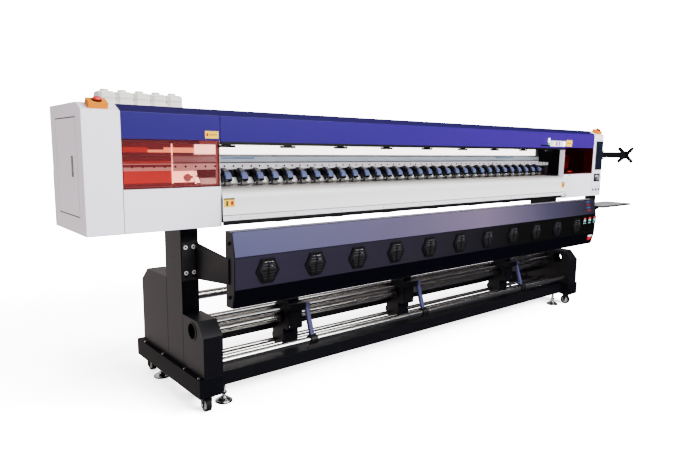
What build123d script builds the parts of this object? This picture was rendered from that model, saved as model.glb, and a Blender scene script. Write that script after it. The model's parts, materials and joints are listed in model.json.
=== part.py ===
from build123d import *
import math
import os

# Roll-to-roll wide-format printer: a floor-standing frame with two end housings, a
# print bay between them, a drying box in front and a media take-up below.
# Design frame, mm: X along the machine from its middle, Y back from the front plane
# of the housings, Z up from the floor. The pieces are written with the origin under
# the middle of the whole machine's box.

# --- driving dimensions -------------------------------------------------------
media_gap = 3294.0  # clear width between the two end housings
housing_length = 660.0
housing_depth = 520.0
platen_top = 1146.0  # height of the printing surface
housing_top = platen_top + 404
housing_bottom = platen_top - 188
cap_length = 167.0  # closed outer end of each housing
bevel_y = 71.0  # depth of the sloped front edge of the top
bevel_z = 35.0
skin = 2.0  # sheet-metal thickness
lid_skin = 3.0
gap = 2.0  # panel gap around doors and lids

window_low = platen_top + 17
window_high = housing_top - 158
pane_thickness = 4.0

skid_length = 847.0
skid_front = -90.0
skid_width = 132.0
skid_outer = media_gap / 2 + 186  # distance of a skid's outer face from the middle
wheel_radius = 36.0
skid_low = 2 * wheel_radius + 27
skid_high = skid_low + 96
column_outer = skid_outer - 26
column_inner = column_outer - 96
column_front = 150.0
column_back = 350.0
tube_wall = 5.0
box_inner = column_inner - 11  # inner faces of the leg boxes
box_top = 485.0
rear_box_back = 710.0
rear_box_top = 651.0
cable_hole = Vector(0, 38, 420)
cable_hole_radius = 45.0

platen_front = 35.0
platen_back = 300.0
platen_thickness = 46.0
apron_radius = 50.0
apron_low = platen_top - 161
apron_sheet = 3.0
feed_y = 215.0
feed_radius = 15.0
pinch_radius = 12.0
pinch_pitch = 103.0
pinch_start = 153.5  # from the left inner wall to the first pinch roller
pinch_end = 50.0  # least room left at the right inner wall
pinch_count = int((media_gap - pinch_start - pinch_end) // pinch_pitch) + 1
pinch_width = 36.0
pinch_pivot_y = 285.0
pinch_pivot_z = platen_top + 57
arm_low = platen_top + 41
arm_high = platen_top + 76

rail_front = 300.0
rail_depth = 120.0
rail_low = platen_top + 84
rail_high = rail_low + 145

carriage_park = 53.0  # from the right inner wall to the parked carriage
carriage_room = 40.0  # between the parked carriage and the closed cap
carriage_length = housing_length - cap_length - carriage_park - carriage_room
carriage_inner = media_gap / 2 + carriage_park
carriage_front = 62.0

dryer_half = media_gap / 2 + 74
# depth, and height from the housings' underside
dryer_outline = [(-187, 4), (-247, 4), (-270, -118), (-266, -278), (-244, -370), (-187, -370)]
dryer_profile = [(y, housing_bottom + z) for y, z in dryer_outline]
dryer_wall = 2.0
end_plate = 6.0
fan_pitch = 296.0
fan_start = 179.0  # from the dryer's left end to its first fan
fan_end = 300.0  # kept free at the right end for the controllers
fan_count = int((2 * dryer_half - fan_start - fan_end) // fan_pitch) + 1
fan_size = 119.0
fan_bore = 56.0
fan_depth = 25.0

spool_radius = 25.0
spool_y, spool_z = 130.0, 370.0
pivot_y, pivot_z = 30.0, 445.0
tension_y, tension_z = -35.0, 249.0
tension_radius = 20.0
upper_y, upper_z = 175.0, 430.0
upper_radius = 20.0
roller_journal = 8.0
shaft_journal = 12.0
brace_y, brace_z, brace_radius = 105.0, 418.0, 13.0
rods = [(112.0, skid_high + 17), (190.0, skid_high + 19)]  # depth and height of each rod
rod_radius = 12.0
arm_places = [-1088.0, -133.0, 1045.0]
arm_width = 26.0
unwind_y, unwind_z = 560.0, 460.0

caster_x = skid_outer - skid_width / 2
front_caster_y = -40.0
rear_caster_y = 705.0
foot_x = skid_outer - skid_width - 61
front_foot_y = 25.0
rear_foot_x = caster_x
rear_foot_y = 560.0
foot_radius = 45.0
foot_stud = 8.0

shelf_length = 575.0
shelf_depth = 258.0
shelf_sheet = 12.0
shelf_front = -38.0
shelf_reach = 11.0  # from the housing's end wall to the shelf's near edge
shelf_top = housing_bottom - 108
estop_size = (84.0, 56.0, 28.0)
estop_bore = 9.5
screen_length = 120.0
screen_height = 260.0
vesa_pitch = 100.0
vesa_hole = 2.5

running = 0.05  # radial clearance of a shaft in its bearing
clear = 0.5  # clearance of pieces that pass close to each other

# --- values worked out from them ----------------------------------------------
gap_half = media_gap / 2
housing_end = gap_half + housing_length
cap_inner = housing_end - cap_length
arm_base = Vector(housing_end + 38, 30, housing_top - 218)
arm_tip = arm_base + Vector(305, -66, 0)
front_top = housing_top - bevel_z
lid_back = housing_depth - 50.0
outline = [
    (0, housing_bottom),
    (0, front_top),
    (bevel_y, housing_top),
    (housing_depth, housing_top),
    (housing_depth, housing_bottom),
]
feed_z = platen_top + clear - feed_radius
pinch_z = platen_top + 2 * clear + pinch_radius
pinch_places = [pinch_start - gap_half + pinch_pitch * i for i in range(pinch_count)]
fan_places = [fan_start - dryer_half + fan_pitch * i for i in range(fan_count)]
bevel = Plane(
    origin=(0, bevel_y / 2, (front_top + housing_top) / 2),
    x_dir=(1, 0, 0),
    z_dir=(0, -bevel_z, bevel_y),
)
panel_high, panel_low = dryer_profile[2], dryer_profile[3]
fan_face = Plane(
    origin=(0, (panel_high[0] + panel_low[0]) / 2, (panel_high[1] + panel_low[1]) / 2),
    x_dir=(1, 0, 0),
    z_dir=(0, panel_low[1] - panel_high[1], panel_high[0] - panel_low[0]),
)

pieces = {}


# --- helpers ------------------------------------------------------------------
def keep(piece, node):
    """Name a finished piece, so that it is written at the end."""
    piece.part.label = node
    pieces[node] = piece.part


def span(side, inner, outer):
    """X values between two distances from the middle, on one side of the machine."""
    return tuple(sorted((side * inner, side * outer)))


def block(x, y, z, mode=Mode.ADD, places=(0.0,)):
    """A box between two X, two Y and two Z values, repeated along X at the places."""
    middle = ((x[0] + x[1]) / 2, (y[0] + y[1]) / 2, (z[0] + z[1]) / 2)
    with Locations(*[(middle[0] + place, middle[1], middle[2]) for place in places]):
        Box(x[1] - x[0], y[1] - y[0], z[1] - z[0], mode=mode)


def bar(x, y, z, radius, mode=Mode.ADD, places=(0.0,)):
    """A round bar along X between two X values, repeated along X at the places."""
    middle = (x[0] + x[1]) / 2
    with Locations(*[Location((middle + place, y, z), (0, 90, 0)) for place in places]):
        Cylinder(radius, x[1] - x[0], mode=mode)


def post(x, y, z, radius, mode=Mode.ADD):
    """A round post along Z between two Z values."""
    with Locations((x, y, (z[0] + z[1]) / 2)):
        Cylinder(radius, z[1] - z[0], mode=mode)


def stub(x, y, z, radius, mode=Mode.ADD):
    """A round stub along Y between two Y values."""
    with Locations(Location((x, (y[0] + y[1]) / 2, z), (90, 0, 0))):
        Cylinder(radius, y[1] - y[0], mode=mode)


def profile(points, x, inset=0.0, mode=Mode.ADD):
    """A closed outline in Y and Z, drawn in by inset, run along X."""
    with BuildSketch(Plane.YZ.offset(x[0]), mode=Mode.PRIVATE) as shape:
        with BuildLine():
            Polyline(*points, close=True)
        make_face()
        if inset:
            offset(amount=-inset, kind=Kind.INTERSECTION, mode=Mode.REPLACE)
    extrude(shape.sketch, amount=x[1] - x[0], mode=mode)


def folded(points, x, thickness, side=Side.RIGHT):
    """A folded sheet that follows an open line in Y and Z, run along X."""
    with BuildSketch(Plane.YZ.offset(x[0]), mode=Mode.PRIVATE) as shape:
        with BuildLine():
            Polyline(*points)
            offset(amount=thickness, side=side, kind=Kind.INTERSECTION)
        make_face()
    extrude(shape.sketch, amount=x[1] - x[0])


def tube(x, y, z, wall, along):
    """A rectangular tube, open at both ends of the axis named by along."""
    block(x, y, z)
    room = {"x": x, "y": y, "z": z}
    for axis in room:
        low, high = room[axis]
        if axis != along:
            room[axis] = (low + wall, high - wall)
    block(room["x"], room["y"], room["z"], Mode.SUBTRACT)


# --- floor frame --------------------------------------------------------------
skid_inner = skid_outer - skid_width
skid_back = skid_front + skid_length
with BuildPart() as leg_skids:
    for side in (-1, 1):
        tube(span(side, skid_inner, skid_outer), (skid_front, skid_back), (skid_low, skid_high),
             tube_wall, "y")
        # end caps close the tube
        for end in (skid_front, skid_back - tube_wall):
            block(span(side, skid_inner + 1, skid_outer - 1), (end, end + tube_wall),
                  (skid_low + 1, skid_high - 1))
        post(side * rear_foot_x, rear_foot_y, (skid_low, skid_low + tube_wall),
             foot_stud + running, Mode.SUBTRACT)
        # the rear casters don't swivel: their cheeks are welded to the skid
        for cheek in (side * caster_x - 24, side * caster_x + 20):
            block((cheek, cheek + 4), (rear_caster_y - 14, rear_caster_y + 14),
                  (wheel_radius - 12, skid_low))
        bar((side * caster_x - 20, side * caster_x + 20), rear_caster_y, wheel_radius, 5)
keep(leg_skids, "leg_skids")

with BuildPart() as leg_columns:
    for side in (-1, 1):
        tube(span(side, column_inner, column_outer), (column_front, column_back),
             (skid_high, housing_bottom), tube_wall, "z")
        bar(span(side, column_inner, column_inner + tube_wall), upper_y, upper_z,
            roller_journal + running, Mode.SUBTRACT)
keep(leg_columns, "leg_columns")

front_outline = [
    (skid_front, skid_high),
    (skid_front, box_top - 73),
    (skid_front + 65, box_top),
    (column_front, box_top),
    (column_front, skid_high),
]
rear_outline = [
    (column_back, skid_high),
    (column_back, rear_box_top),
    (rear_box_back - 87, rear_box_top),
    (rear_box_back, rear_box_top - 75),
    (rear_box_back, skid_high),
]
with BuildPart() as leg_boxes:
    for side in (-1, 1):
        x = span(side, box_inner, column_outer)
        inner_wall = span(side, box_inner, box_inner + skin)
        for shape in (front_outline, rear_outline):
            profile(shape, x)
            profile(shape, (x[0] + skin, x[1] - skin), skin, Mode.SUBTRACT)
        bar(x, cable_hole.Y, cable_hole.Z, cable_hole_radius, Mode.SUBTRACT)
        bar(inner_wall, spool_y, spool_z, shaft_journal + running, Mode.SUBTRACT)
        bar(inner_wall, unwind_y, unwind_z, shaft_journal + running, Mode.SUBTRACT)
keep(leg_boxes, "leg_boxes")

low_beam_y = (-20.0, 70.0)
low_beam_z = (skid_low + 12, skid_low + 85)
rear_beam_z = (275.0, 385.0)
beam_y = (120.0, 320.0)
beam_z = (housing_bottom + skin, platen_top - platen_thickness)
beam_end = cap_inner - 10
with BuildPart() as cross_beams:
    tube((-skid_inner, skid_inner), low_beam_y, low_beam_z, 4.0, "x")
    for side in (-1, 1):
        post(side * foot_x, front_foot_y, (low_beam_z[0], low_beam_z[0] + 4),
             foot_stud + running, Mode.SUBTRACT)
    tube((-column_inner, column_inner), (column_back - 130, column_back - 50), rear_beam_z, 4.0,
         "x")
    # the main beam under the platen
    tube((-beam_end, beam_end), beam_y, beam_z, tube_wall, "x")
keep(cross_beams, "cross_beams")

# two slide rods carry the take-up blocks, the third braces the leg boxes
with BuildPart() as slide_rods:
    bar((-box_inner, box_inner), *rods[0], rod_radius)
    bar((-column_inner, column_inner), *rods[1], rod_radius)
    bar((-box_inner, box_inner), brace_y, brace_z, brace_radius)
keep(slide_rods, "slide_rods")

# --- print bay ----------------------------------------------------------------
with BuildPart() as rail_beam:
    rail_z = (rail_low, rail_high)
    rail_y = (rail_front, rail_front + rail_depth)
    rail_x = (-beam_end, beam_end)
    block(rail_x, rail_y, rail_z)
    # hollow chamber, a ledge groove and two slots of the extruded beam
    block(rail_x, (rail_y[0] + 8, rail_y[1] - 8), (rail_z[0] + 8, rail_z[1] - 8), Mode.SUBTRACT)
    block(rail_x, (rail_y[0], rail_y[0] + 4), (rail_high - 63, rail_high - 55), Mode.SUBTRACT)
    block(rail_x, (rail_y[0], rail_y[0] + 4), (rail_high - 103, rail_high - 99), Mode.SUBTRACT)
keep(rail_beam, "rail_beam")

platen_end = gap_half - gap
with BuildPart() as platen:
    block((-platen_end, platen_end), (platen_front, platen_back),
          (platen_top - platen_thickness, platen_top))
    # groove for the feed roller, open at the top
    block((-platen_end, platen_end), (feed_y - feed_radius - 3, feed_y + feed_radius + 3),
          (feed_z - feed_radius - 3, platen_top), Mode.SUBTRACT)
keep(platen, "platen")

with BuildPart() as media_aprons:
    # front apron, rolled over from the platen
    with BuildSketch(Plane.YZ.offset(-platen_end)):
        with BuildLine():
            front = platen_front - apron_radius
            low = platen_top - apron_radius
            drop = Line((front, apron_low), (front, low))
            RadiusArc(drop @ 1, (platen_front, platen_top), apron_radius)
            offset(amount=apron_sheet, side=Side.RIGHT)
        make_face()
    extrude(amount=2 * platen_end)
    # rear guide, where the media comes in
    with BuildSketch(Plane.YZ.offset(-platen_end)):
        with BuildLine():
            turn = housing_depth - apron_radius
            flat = Line((platen_back, platen_top), (turn, platen_top))
            curl = RadiusArc(flat @ 1, (housing_depth, low), apron_radius)
            Line(curl @ 1, (housing_depth, apron_low))
            offset(amount=apron_sheet, side=Side.RIGHT)
        make_face()
    extrude(amount=2 * platen_end)
keep(media_aprons, "media_aprons")

with BuildPart() as feed_roller:
    bar((-gap_half + 10, gap_half - 10), feed_y, feed_z, feed_radius)
    bar((gap_half - 10, gap_half + 60), feed_y, feed_z, 8)
    bar((gap_half + 30, gap_half + 45), feed_y, feed_z, 14)
keep(feed_roller, "feed_roller")

with BuildPart() as pinch_arms:
    bar((-gap_half + 4, gap_half - 4), pinch_pivot_y, pinch_pivot_z, 6)
    ear = pinch_width / 2 + 7
    block((-ear, ear), (feed_y + 15, pinch_pivot_y + 9), (arm_low, arm_high), places=pinch_places)
    block((-14, 14), (feed_y + 22, pinch_pivot_y - 25), (arm_high, arm_high + 8),
          places=pinch_places)
    for edge in (-ear, ear - 6):
        block((edge, edge + 6), (feed_y - 8, feed_y + 24), (pinch_z - 8, arm_low + 13),
              places=pinch_places)
    bar((-ear, ear), feed_y, pinch_z, 3 + running, Mode.SUBTRACT, pinch_places)
keep(pinch_arms, "pinch_arms")

with BuildPart() as pinch_rollers:
    half = pinch_width / 2
    bar((-half, half), feed_y, pinch_z, pinch_radius, places=pinch_places)
    bar((-half - 6, half + 6), feed_y, pinch_z, 3, places=pinch_places)
keep(pinch_rollers, "pinch_rollers")

with BuildPart() as rear_cover:
    folded([(lid_back + gap, housing_top), (housing_depth, housing_top),
            (housing_depth, rail_low + 10)], (-platen_end, platen_end), skin)
keep(rear_cover, "rear_cover")

# --- carriage and its drive ---------------------------------------------------
belt_y = 340.0
belt_z = rail_high + 22
pulley_radius = 16.0
belt_thickness = 2.0
belt_x = beam_end - 40
belt_front = belt_y - pulley_radius - clear - belt_thickness
carriage_x = (carriage_inner, carriage_inner + carriage_length)
carriage_low = platen_top + 14
carriage_top = rail_high - 7
head_height = 10.0
head_pitch = 90.0
head_count = int((carriage_length - head_pitch) // head_pitch) + 1
with BuildPart() as carriage:
    block(carriage_x, (carriage_front, 190), (carriage_low, carriage_top))
    block(carriage_x, (190, rail_front - 14), (rail_low + 32, carriage_top))
    block((carriage_x[0] + 60, carriage_x[1] - 60), (rail_front - 14, rail_front - 1),
          (rail_low + 55, rail_low + 75))
    fillet(carriage.edges().filter_by(Axis.Z).group_by(Axis.Y)[0], radius=12)
    # print heads under the carriage
    head_places = [carriage_x[0] + 65 + head_pitch * i for i in range(head_count)]
    block((-25, 25), (carriage_front + 20, 170), (carriage_low - head_height, carriage_low),
          places=head_places)
    # arm that reaches over the rail to the front run of the belt
    clamp_x = (sum(carriage_x) / 2 - 20, sum(carriage_x) / 2 + 20)
    block(clamp_x, (rail_front - 60, rail_front - 14), (carriage_top, belt_z + 5))
    block(clamp_x, (rail_front - 14, belt_front - clear), (rail_high + 6, belt_z + 5))
keep(carriage, "carriage")

with BuildPart() as carriage_belt:
    with BuildSketch(Plane.XY.offset(belt_z - 5)):
        with Locations((0, belt_y)):
            SlotCenterToCenter(2 * belt_x, 2 * (pulley_radius + clear + belt_thickness))
            SlotCenterToCenter(2 * belt_x, 2 * (pulley_radius + clear), mode=Mode.SUBTRACT)
    extrude(amount=10)
keep(carriage_belt, "carriage_belt")

for side, name in ((-1, "idler_pulley"), (1, "drive_pulley")):
    with BuildPart() as pulley:
        post(side * belt_x, belt_y, (belt_z - 6, belt_z + 6), pulley_radius)
        post(side * belt_x, belt_y, (belt_z - 6, belt_z + 6), 5 + running, Mode.SUBTRACT)
    keep(pulley, name)

with BuildPart() as rail_brackets:
    for side in (-1, 1):
        # post that carries the rail on the main beam
        block(span(side, gap_half + 60, gap_half + 120), (rail_front + 5, beam_y[1]),
              (beam_z[1], rail_low))
        # mount of a pulley on the rail
        block(span(side, belt_x - 30, belt_x + 30), (rail_front, rail_front + 80),
              (rail_high, rail_high + 10))
        post(side * belt_x, belt_y, (rail_high + 10, belt_z + 10), 5)
    # the motor stands behind the driven end
    block((belt_x - 35, belt_x + 35), (rail_front + rail_depth, rail_front + rail_depth + 70),
          (rail_high - 110, rail_high))
keep(rail_brackets, "rail_brackets")

# --- end housings -------------------------------------------------------------
door_y = (86.0, housing_depth - 90)
door_z = (housing_bottom + 77, housing_top - 63)
button_places = [cap_inner + 27, cap_inner + 81, cap_inner + 131]
button_z = housing_bottom + 55
tank_pitch = 94.0
tank_width = 90.0
tank_places = [120 - cap_inner + tank_pitch * i for i in range(5)]
tank_y = (housing_depth + 6, housing_depth + 112)
tank_z = (housing_top - 130, housing_top + 98)


def build_housing(side):
    """One end housing: closed cap, open bay under the lid, inner wall with openings."""
    whole = span(side, gap_half, housing_end)
    cap = span(side, cap_inner + skin, housing_end - skin)
    bay = span(side, gap_half + skin, cap_inner)
    inner_wall = span(side, gap_half, gap_half + skin)
    with BuildPart() as shell:
        profile(outline, whole)
        profile(outline, cap, skin, Mode.SUBTRACT)
        profile(outline, bay, skin, Mode.SUBTRACT)
        # the lid's place: front above the window's foot, and the top
        block(span(side, gap_half, cap_inner), (-1, lid_back + gap),
              (window_low - gap, housing_top + 1), Mode.SUBTRACT)
        profile(outline, inner_wall, 6.0)
        # openings in the inner wall: print bay, main beam and rail beam
        block(inner_wall, (50, rail_front), (beam_z[1] + 5, rail_high + 1), Mode.SUBTRACT)
        block(inner_wall, (beam_y[0] - gap, beam_y[1] + gap), (beam_z[0], beam_z[1] + 6),
              Mode.SUBTRACT)
        block(inner_wall, (rail_front - gap, rail_front + rail_depth + gap),
              (rail_low - gap, rail_high + gap), Mode.SUBTRACT)
        block(inner_wall, (rail_front - 70, belt_y + 30), (rail_high, belt_z + 20), Mode.SUBTRACT)
        if side < 0:
            end_wall = span(side, housing_end - skin, housing_end)
            block(end_wall, door_y, door_z, Mode.SUBTRACT)
            # ledge that carries the ink tanks
            rack_x = (tank_places[0] - 60, tank_places[-1] + 20)
            block(rack_x, (housing_depth, housing_depth + 4), (tank_z[0] - 80, tank_z[0] + 40))
            block((rack_x[0], rack_x[1] + 40), (housing_depth, tank_y[1] + 4),
                  (tank_z[0] - 4, tank_z[0]))
    return shell


left_housing = build_housing(-1)
right_housing = build_housing(1)
keep(left_housing, "left_housing")
keep(right_housing, "right_housing")

lid_line = [(0, window_high), (0, front_top), (bevel_y, housing_top), (lid_back, housing_top)]
pane_y = (lid_skin, lid_skin + pane_thickness)
for side, hand in ((-1, "left"), (1, "right")):
    with BuildPart() as lid:
        folded(lid_line, span(side, gap_half, cap_inner - gap), lid_skin)
    keep(lid, f"{hand}_lid")
    with BuildPart() as window:
        block(span(side, gap_half + skin + 1, cap_inner - gap), pane_y,
              (window_low, window_high + 20))
    keep(window, f"{hand}_window")

with BuildPart() as centre_lid:
    folded([(0, window_high - 17)] + lid_line[1:], (-platen_end, platen_end), lid_skin)
keep(centre_lid, "centre_lid")

with BuildPart() as side_door:
    door_x = (-housing_end, -housing_end + skin)
    block(door_x, (door_y[0] + gap, door_y[1] - gap), (door_z[0] + gap, door_z[1] - gap))
    # a long upright finger slot, with a raised rim round it on the inside
    slot_y, slot_z = (160, 174), (door_z[0] + 187, door_z[0] + 273)
    block((door_x[1], door_x[1] + 1.5), (slot_y[0] - 6, slot_y[1] + 6),
          (slot_z[0] - 6, slot_z[1] + 6))
    block((door_x[0], door_x[1] + 2), slot_y, slot_z, Mode.SUBTRACT)
keep(side_door, "side_door")

# --- ink tanks on the back of the left housing --------------------------------
with BuildPart() as ink_tanks:
    half = tank_width / 2
    block((-half, half), tank_y, tank_z, places=tank_places)
    chamfer(ink_tanks.edges().filter_by(Axis.Z), length=16)
    for x in tank_places:
        post(x, sum(tank_y) / 2, (tank_z[1], tank_z[1] + 12), 22)
keep(ink_tanks, "ink_tanks")

with BuildPart() as power_inlet:
    inlet_x, inlet_z = cap_inner + 60, housing_bottom + 82
    block((inlet_x - 40, inlet_x + 40), (housing_depth, housing_depth + 6),
          (inlet_z - 45, inlet_z + 45))
    stub(inlet_x, (housing_depth + 6, housing_depth + 46), inlet_z, 32)
    stub(inlet_x, (housing_depth + 12, housing_depth + 46), inlet_z, 28, Mode.SUBTRACT)
    with Locations(Plane.XZ.offset(-(housing_depth + 26))):
        with Locations((inlet_x, inlet_z)):
            with PolarLocations(16, 5):
                Cylinder(3, 30)
keep(power_inlet, "power_inlet")

# --- emergency stops, screen and controls -------------------------------------
estop_x = cap_inner + 90
with BuildPart() as estop_boxes:
    for side in (-1, 1):
        with Locations(bevel.location * Location((side * estop_x, 0, estop_size[2] / 2))):
            Box(*estop_size)
        with Locations(bevel.location * Location((side * estop_x, 0, estop_size[2] - 6))):
            Cylinder(estop_bore, 14, mode=Mode.SUBTRACT)
keep(estop_boxes, "estop_boxes")

for side, hand in ((-1, "left"), (1, "right")):
    with BuildPart() as estop:
        with Locations(bevel.location * Location((side * estop_x, 0, estop_size[2] + 10))):
            Cylinder(2 * estop_bore - 1, 8)
        with Locations(bevel.location * Location((side * estop_x, 0, estop_size[2] + 1))):
            Cylinder(estop_bore - clear, 10)
    keep(estop, f"{hand}_estop_button")

knob_x, knob_z = cap_inner + 84, housing_bottom + 165
with BuildPart() as operator_panel:
    block((cap_inner + 36, cap_inner + 36 + screen_length), (-8, 0),
          (housing_top - 94 - screen_height, housing_top - 94))
    fillet(operator_panel.edges().filter_by(Axis.Y), radius=4)
    block((knob_x - 53, knob_x + 53), (-5, 0), (knob_z - 36, knob_z + 36))
    for x in button_places:
        stub(x, (-5, 0), button_z, 14)
        stub(x, (-5, 0), button_z, 10 + clear, Mode.SUBTRACT)
keep(operator_panel, "operator_panel")

with BuildPart() as power_knob:
    stub(knob_x, (-20, -5.3), knob_z, 24)
    block((knob_x - 5, knob_x + 5), (-30, -20), (knob_z - 22, knob_z + 22))
keep(power_knob, "power_knob")

for i, x in enumerate(button_places):
    with BuildPart() as button:
        stub(x, (-9, -3), button_z, 10)
    keep(button, f"menu_button_{i + 1}")

# --- dryer in front -----------------------------------------------------------
with BuildPart() as dryer_shell:
    dryer_x = (-dryer_half, dryer_half)
    profile(dryer_profile, dryer_x)
    profile(dryer_profile, dryer_x, dryer_wall, Mode.SUBTRACT)
    with Locations(*[fan_face.location * Location((x, 0, 0)) for x in fan_places]):
        Cylinder(fan_bore, 3 * dryer_wall, mode=Mode.SUBTRACT)
keep(dryer_shell, "dryer_shell")

with BuildPart() as dryer_ends:
    arm_line = [(-225, housing_bottom - 253), (-225, housing_bottom - 128),
                (column_front, housing_bottom - 92), (column_front, housing_bottom - 290)]
    for side in (-1, 1):
        profile(dryer_profile, span(side, dryer_half, dryer_half + end_plate))
        profile(arm_line, span(side, dryer_half + end_plate, dryer_half + end_plate + 8))
        block(span(side, column_inner + 4, column_outer - 4), (column_front - 10, column_front),
              (housing_bottom - 298, housing_bottom - 86))
keep(dryer_ends, "dryer_ends")

with BuildPart() as heater_tubes:
    for drop in (308, 198, 88):
        bar((-dryer_half, dryer_half), -212, housing_bottom - drop, 8)
keep(heater_tubes, "heater_tubes")

with BuildPart() as dryer_fans:
    fan_middle = -dryer_wall - fan_depth / 2
    with Locations(*[fan_face.location * Location((x, 0, fan_middle)) for x in fan_places]):
        Box(fan_size, fan_size, fan_depth)
        Cylinder(fan_bore, fan_depth, mode=Mode.SUBTRACT)
        Box(2 * fan_bore + 2, 8, 5)
        Box(8, 2 * fan_bore + 2, 5)
    # six-sided cowls on the outside of the panel
    with BuildSketch(fan_face):
        with Locations(*[(x, 0) for x in fan_places]):
            RegularPolygon(fan_size / 2, 6, major_radius=False)
            Circle(fan_bore - 8, mode=Mode.SUBTRACT)
            Rectangle(2 * fan_bore - 10, 6)
            Rectangle(6, 2 * fan_bore - 10)
    extrude(amount=8)
keep(dryer_fans, "dryer_fans")

controller_places = [dryer_half - 29 - 80 * i for i in range(3)]
with BuildPart() as dryer_controllers:
    with Locations(*[fan_face.location * Location((x, 34, 5)) for x in controller_places]):
        Box(50, 62, 10)
keep(dryer_controllers, "dryer_controllers")

# --- take-up ------------------------------------------------------------------
block_y = (50.0, 168.0)
block_low, block_high = 306.0, 465.0
with BuildPart() as take_up_blocks:
    x = (-120, -arm_width / 2 - gap)
    block(x, block_y, (block_low, block_high), places=arm_places)
    block(x, (12, block_y[0]), (block_high - 40, block_high), places=arm_places)
    block(x, (95, 207), (block_low - 110, block_low), places=arm_places)
    for y, z in rods:
        bar(x, y, z, rod_radius, Mode.SUBTRACT, arm_places)
    bar(x, spool_y, spool_z, spool_radius + running, Mode.SUBTRACT, arm_places)
    bar(x, brace_y, brace_z, brace_radius, Mode.SUBTRACT, arm_places)
    bar(x, upper_y, upper_z, upper_radius + 3, Mode.SUBTRACT, arm_places)
    bar((x[1], arm_width / 2 + 4), pivot_y, pivot_z, 10, places=arm_places)
keep(take_up_blocks, "take_up_blocks")

with BuildPart() as winding_shaft:
    bar((-box_inner + gap, box_inner - gap), spool_y, spool_z, spool_radius)
    for side in (-1, 1):
        bar(span(side, box_inner - gap, box_inner + 20), spool_y, spool_z, shaft_journal)
keep(winding_shaft, "winding_shaft")

with BuildPart() as guide_roller:
    bar((-column_inner + gap, column_inner - gap), upper_y, upper_z, upper_radius)
    for side in (-1, 1):
        bar(span(side, column_inner - gap, column_inner + 12), upper_y, upper_z, roller_journal)
keep(guide_roller, "guide_roller")

with BuildPart() as unwind_shaft:
    bar((-box_inner + gap, box_inner - gap), unwind_y, unwind_z, spool_radius)
    for side in (-1, 1):
        bar(span(side, box_inner - gap, box_inner + 20), unwind_y, unwind_z, shaft_journal)
keep(unwind_shaft, "unwind_shaft")

swing_length = math.hypot(pivot_y - tension_y, pivot_z - tension_z)
swing_tilt = math.degrees(math.atan2(pivot_y - tension_y, pivot_z - tension_z))
with BuildPart() as tension_arms:
    for arm_x in arm_places:
        low = arm_x - arm_width / 2
        middle = ((pivot_y + tension_y) / 2, (pivot_z + tension_z) / 2)
        with BuildSketch(Plane.YZ.offset(low)):
            with Locations(Location((middle[0], middle[1], 0), (0, 0, 90 - swing_tilt))):
                Rectangle(swing_length, 18)
            with Locations((pivot_y, pivot_z)):
                Circle(19)
            with Locations((tension_y, tension_z)):
                Circle(30)
            with Locations((pivot_y, pivot_z)):
                Circle(10 + running, mode=Mode.SUBTRACT)
            with Locations((tension_y, tension_z)):
                Circle(tension_radius + running, mode=Mode.SUBTRACT)
        extrude(amount=arm_width)
keep(tension_arms, "tension_arms")

with BuildPart() as tension_tube:
    bar((-box_inner + 8, box_inner - 8), tension_y, tension_z, tension_radius)
keep(tension_tube, "tension_tube")

# --- casters and levelling feet -----------------------------------------------
trail = 14.0  # a front wheel's axle stands behind its swivel axis
fork_low = 2 * wheel_radius + 12
fork_high = fork_low + 6


def add_wheel(x, y):
    """A solid rubber wheel with hub ends, bored for its axle."""
    bar((x - 14, x + 14), y, wheel_radius, wheel_radius)
    bar((x - 17, x + 17), y, wheel_radius, 14)
    bar((x - 20, x + 20), y, wheel_radius, 5 + running, Mode.SUBTRACT)


for side, hand in ((-1, "left"), (1, "right")):
    x = side * caster_x
    axle = front_caster_y + trail
    with BuildPart() as fork:
        block((x - 24, x + 24), (front_caster_y - 24, front_caster_y + 40), (fork_low, fork_high))
        post(x, front_caster_y, (fork_high, skid_low - clear), 20)
        for cheek in (x - 24, x + 20):
            block((cheek, cheek + 4), (axle - 12, axle + 12), (wheel_radius - 12, fork_low + 1))
        bar((x - 20, x + 20), axle, wheel_radius, 5)
    keep(fork, f"{hand}_caster_fork")
    with BuildPart() as wheel:
        add_wheel(x, axle)
    keep(wheel, f"{hand}_caster_wheel")

with BuildPart() as rear_wheels:
    for side in (-1, 1):
        add_wheel(side * caster_x, rear_caster_y)
keep(rear_wheels, "rear_wheels")

feet = {
    "front_left": (-foot_x, front_foot_y, low_beam_z[0] + 20),
    "front_right": (foot_x, front_foot_y, low_beam_z[0] + 20),
    "rear_left": (-rear_foot_x, rear_foot_y, skid_low + 20),
    "rear_right": (rear_foot_x, rear_foot_y, skid_low + 20),
}
for corner, (x, y, top) in feet.items():
    with BuildPart() as foot:
        post(x, y, (0, 8), foot_radius)
        with Locations((x, y, 19)):
            Cone(foot_radius - 6, 14, 22)
        post(x, y, (30, top), foot_stud)
        with BuildSketch(Plane.XY.offset(46)):
            with Locations((x, y)):
                RegularPolygon(15, 6)
                Circle(foot_stud, mode=Mode.SUBTRACT)
        extrude(amount=10)
    keep(foot, f"{corner}_levelling_foot")

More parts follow.
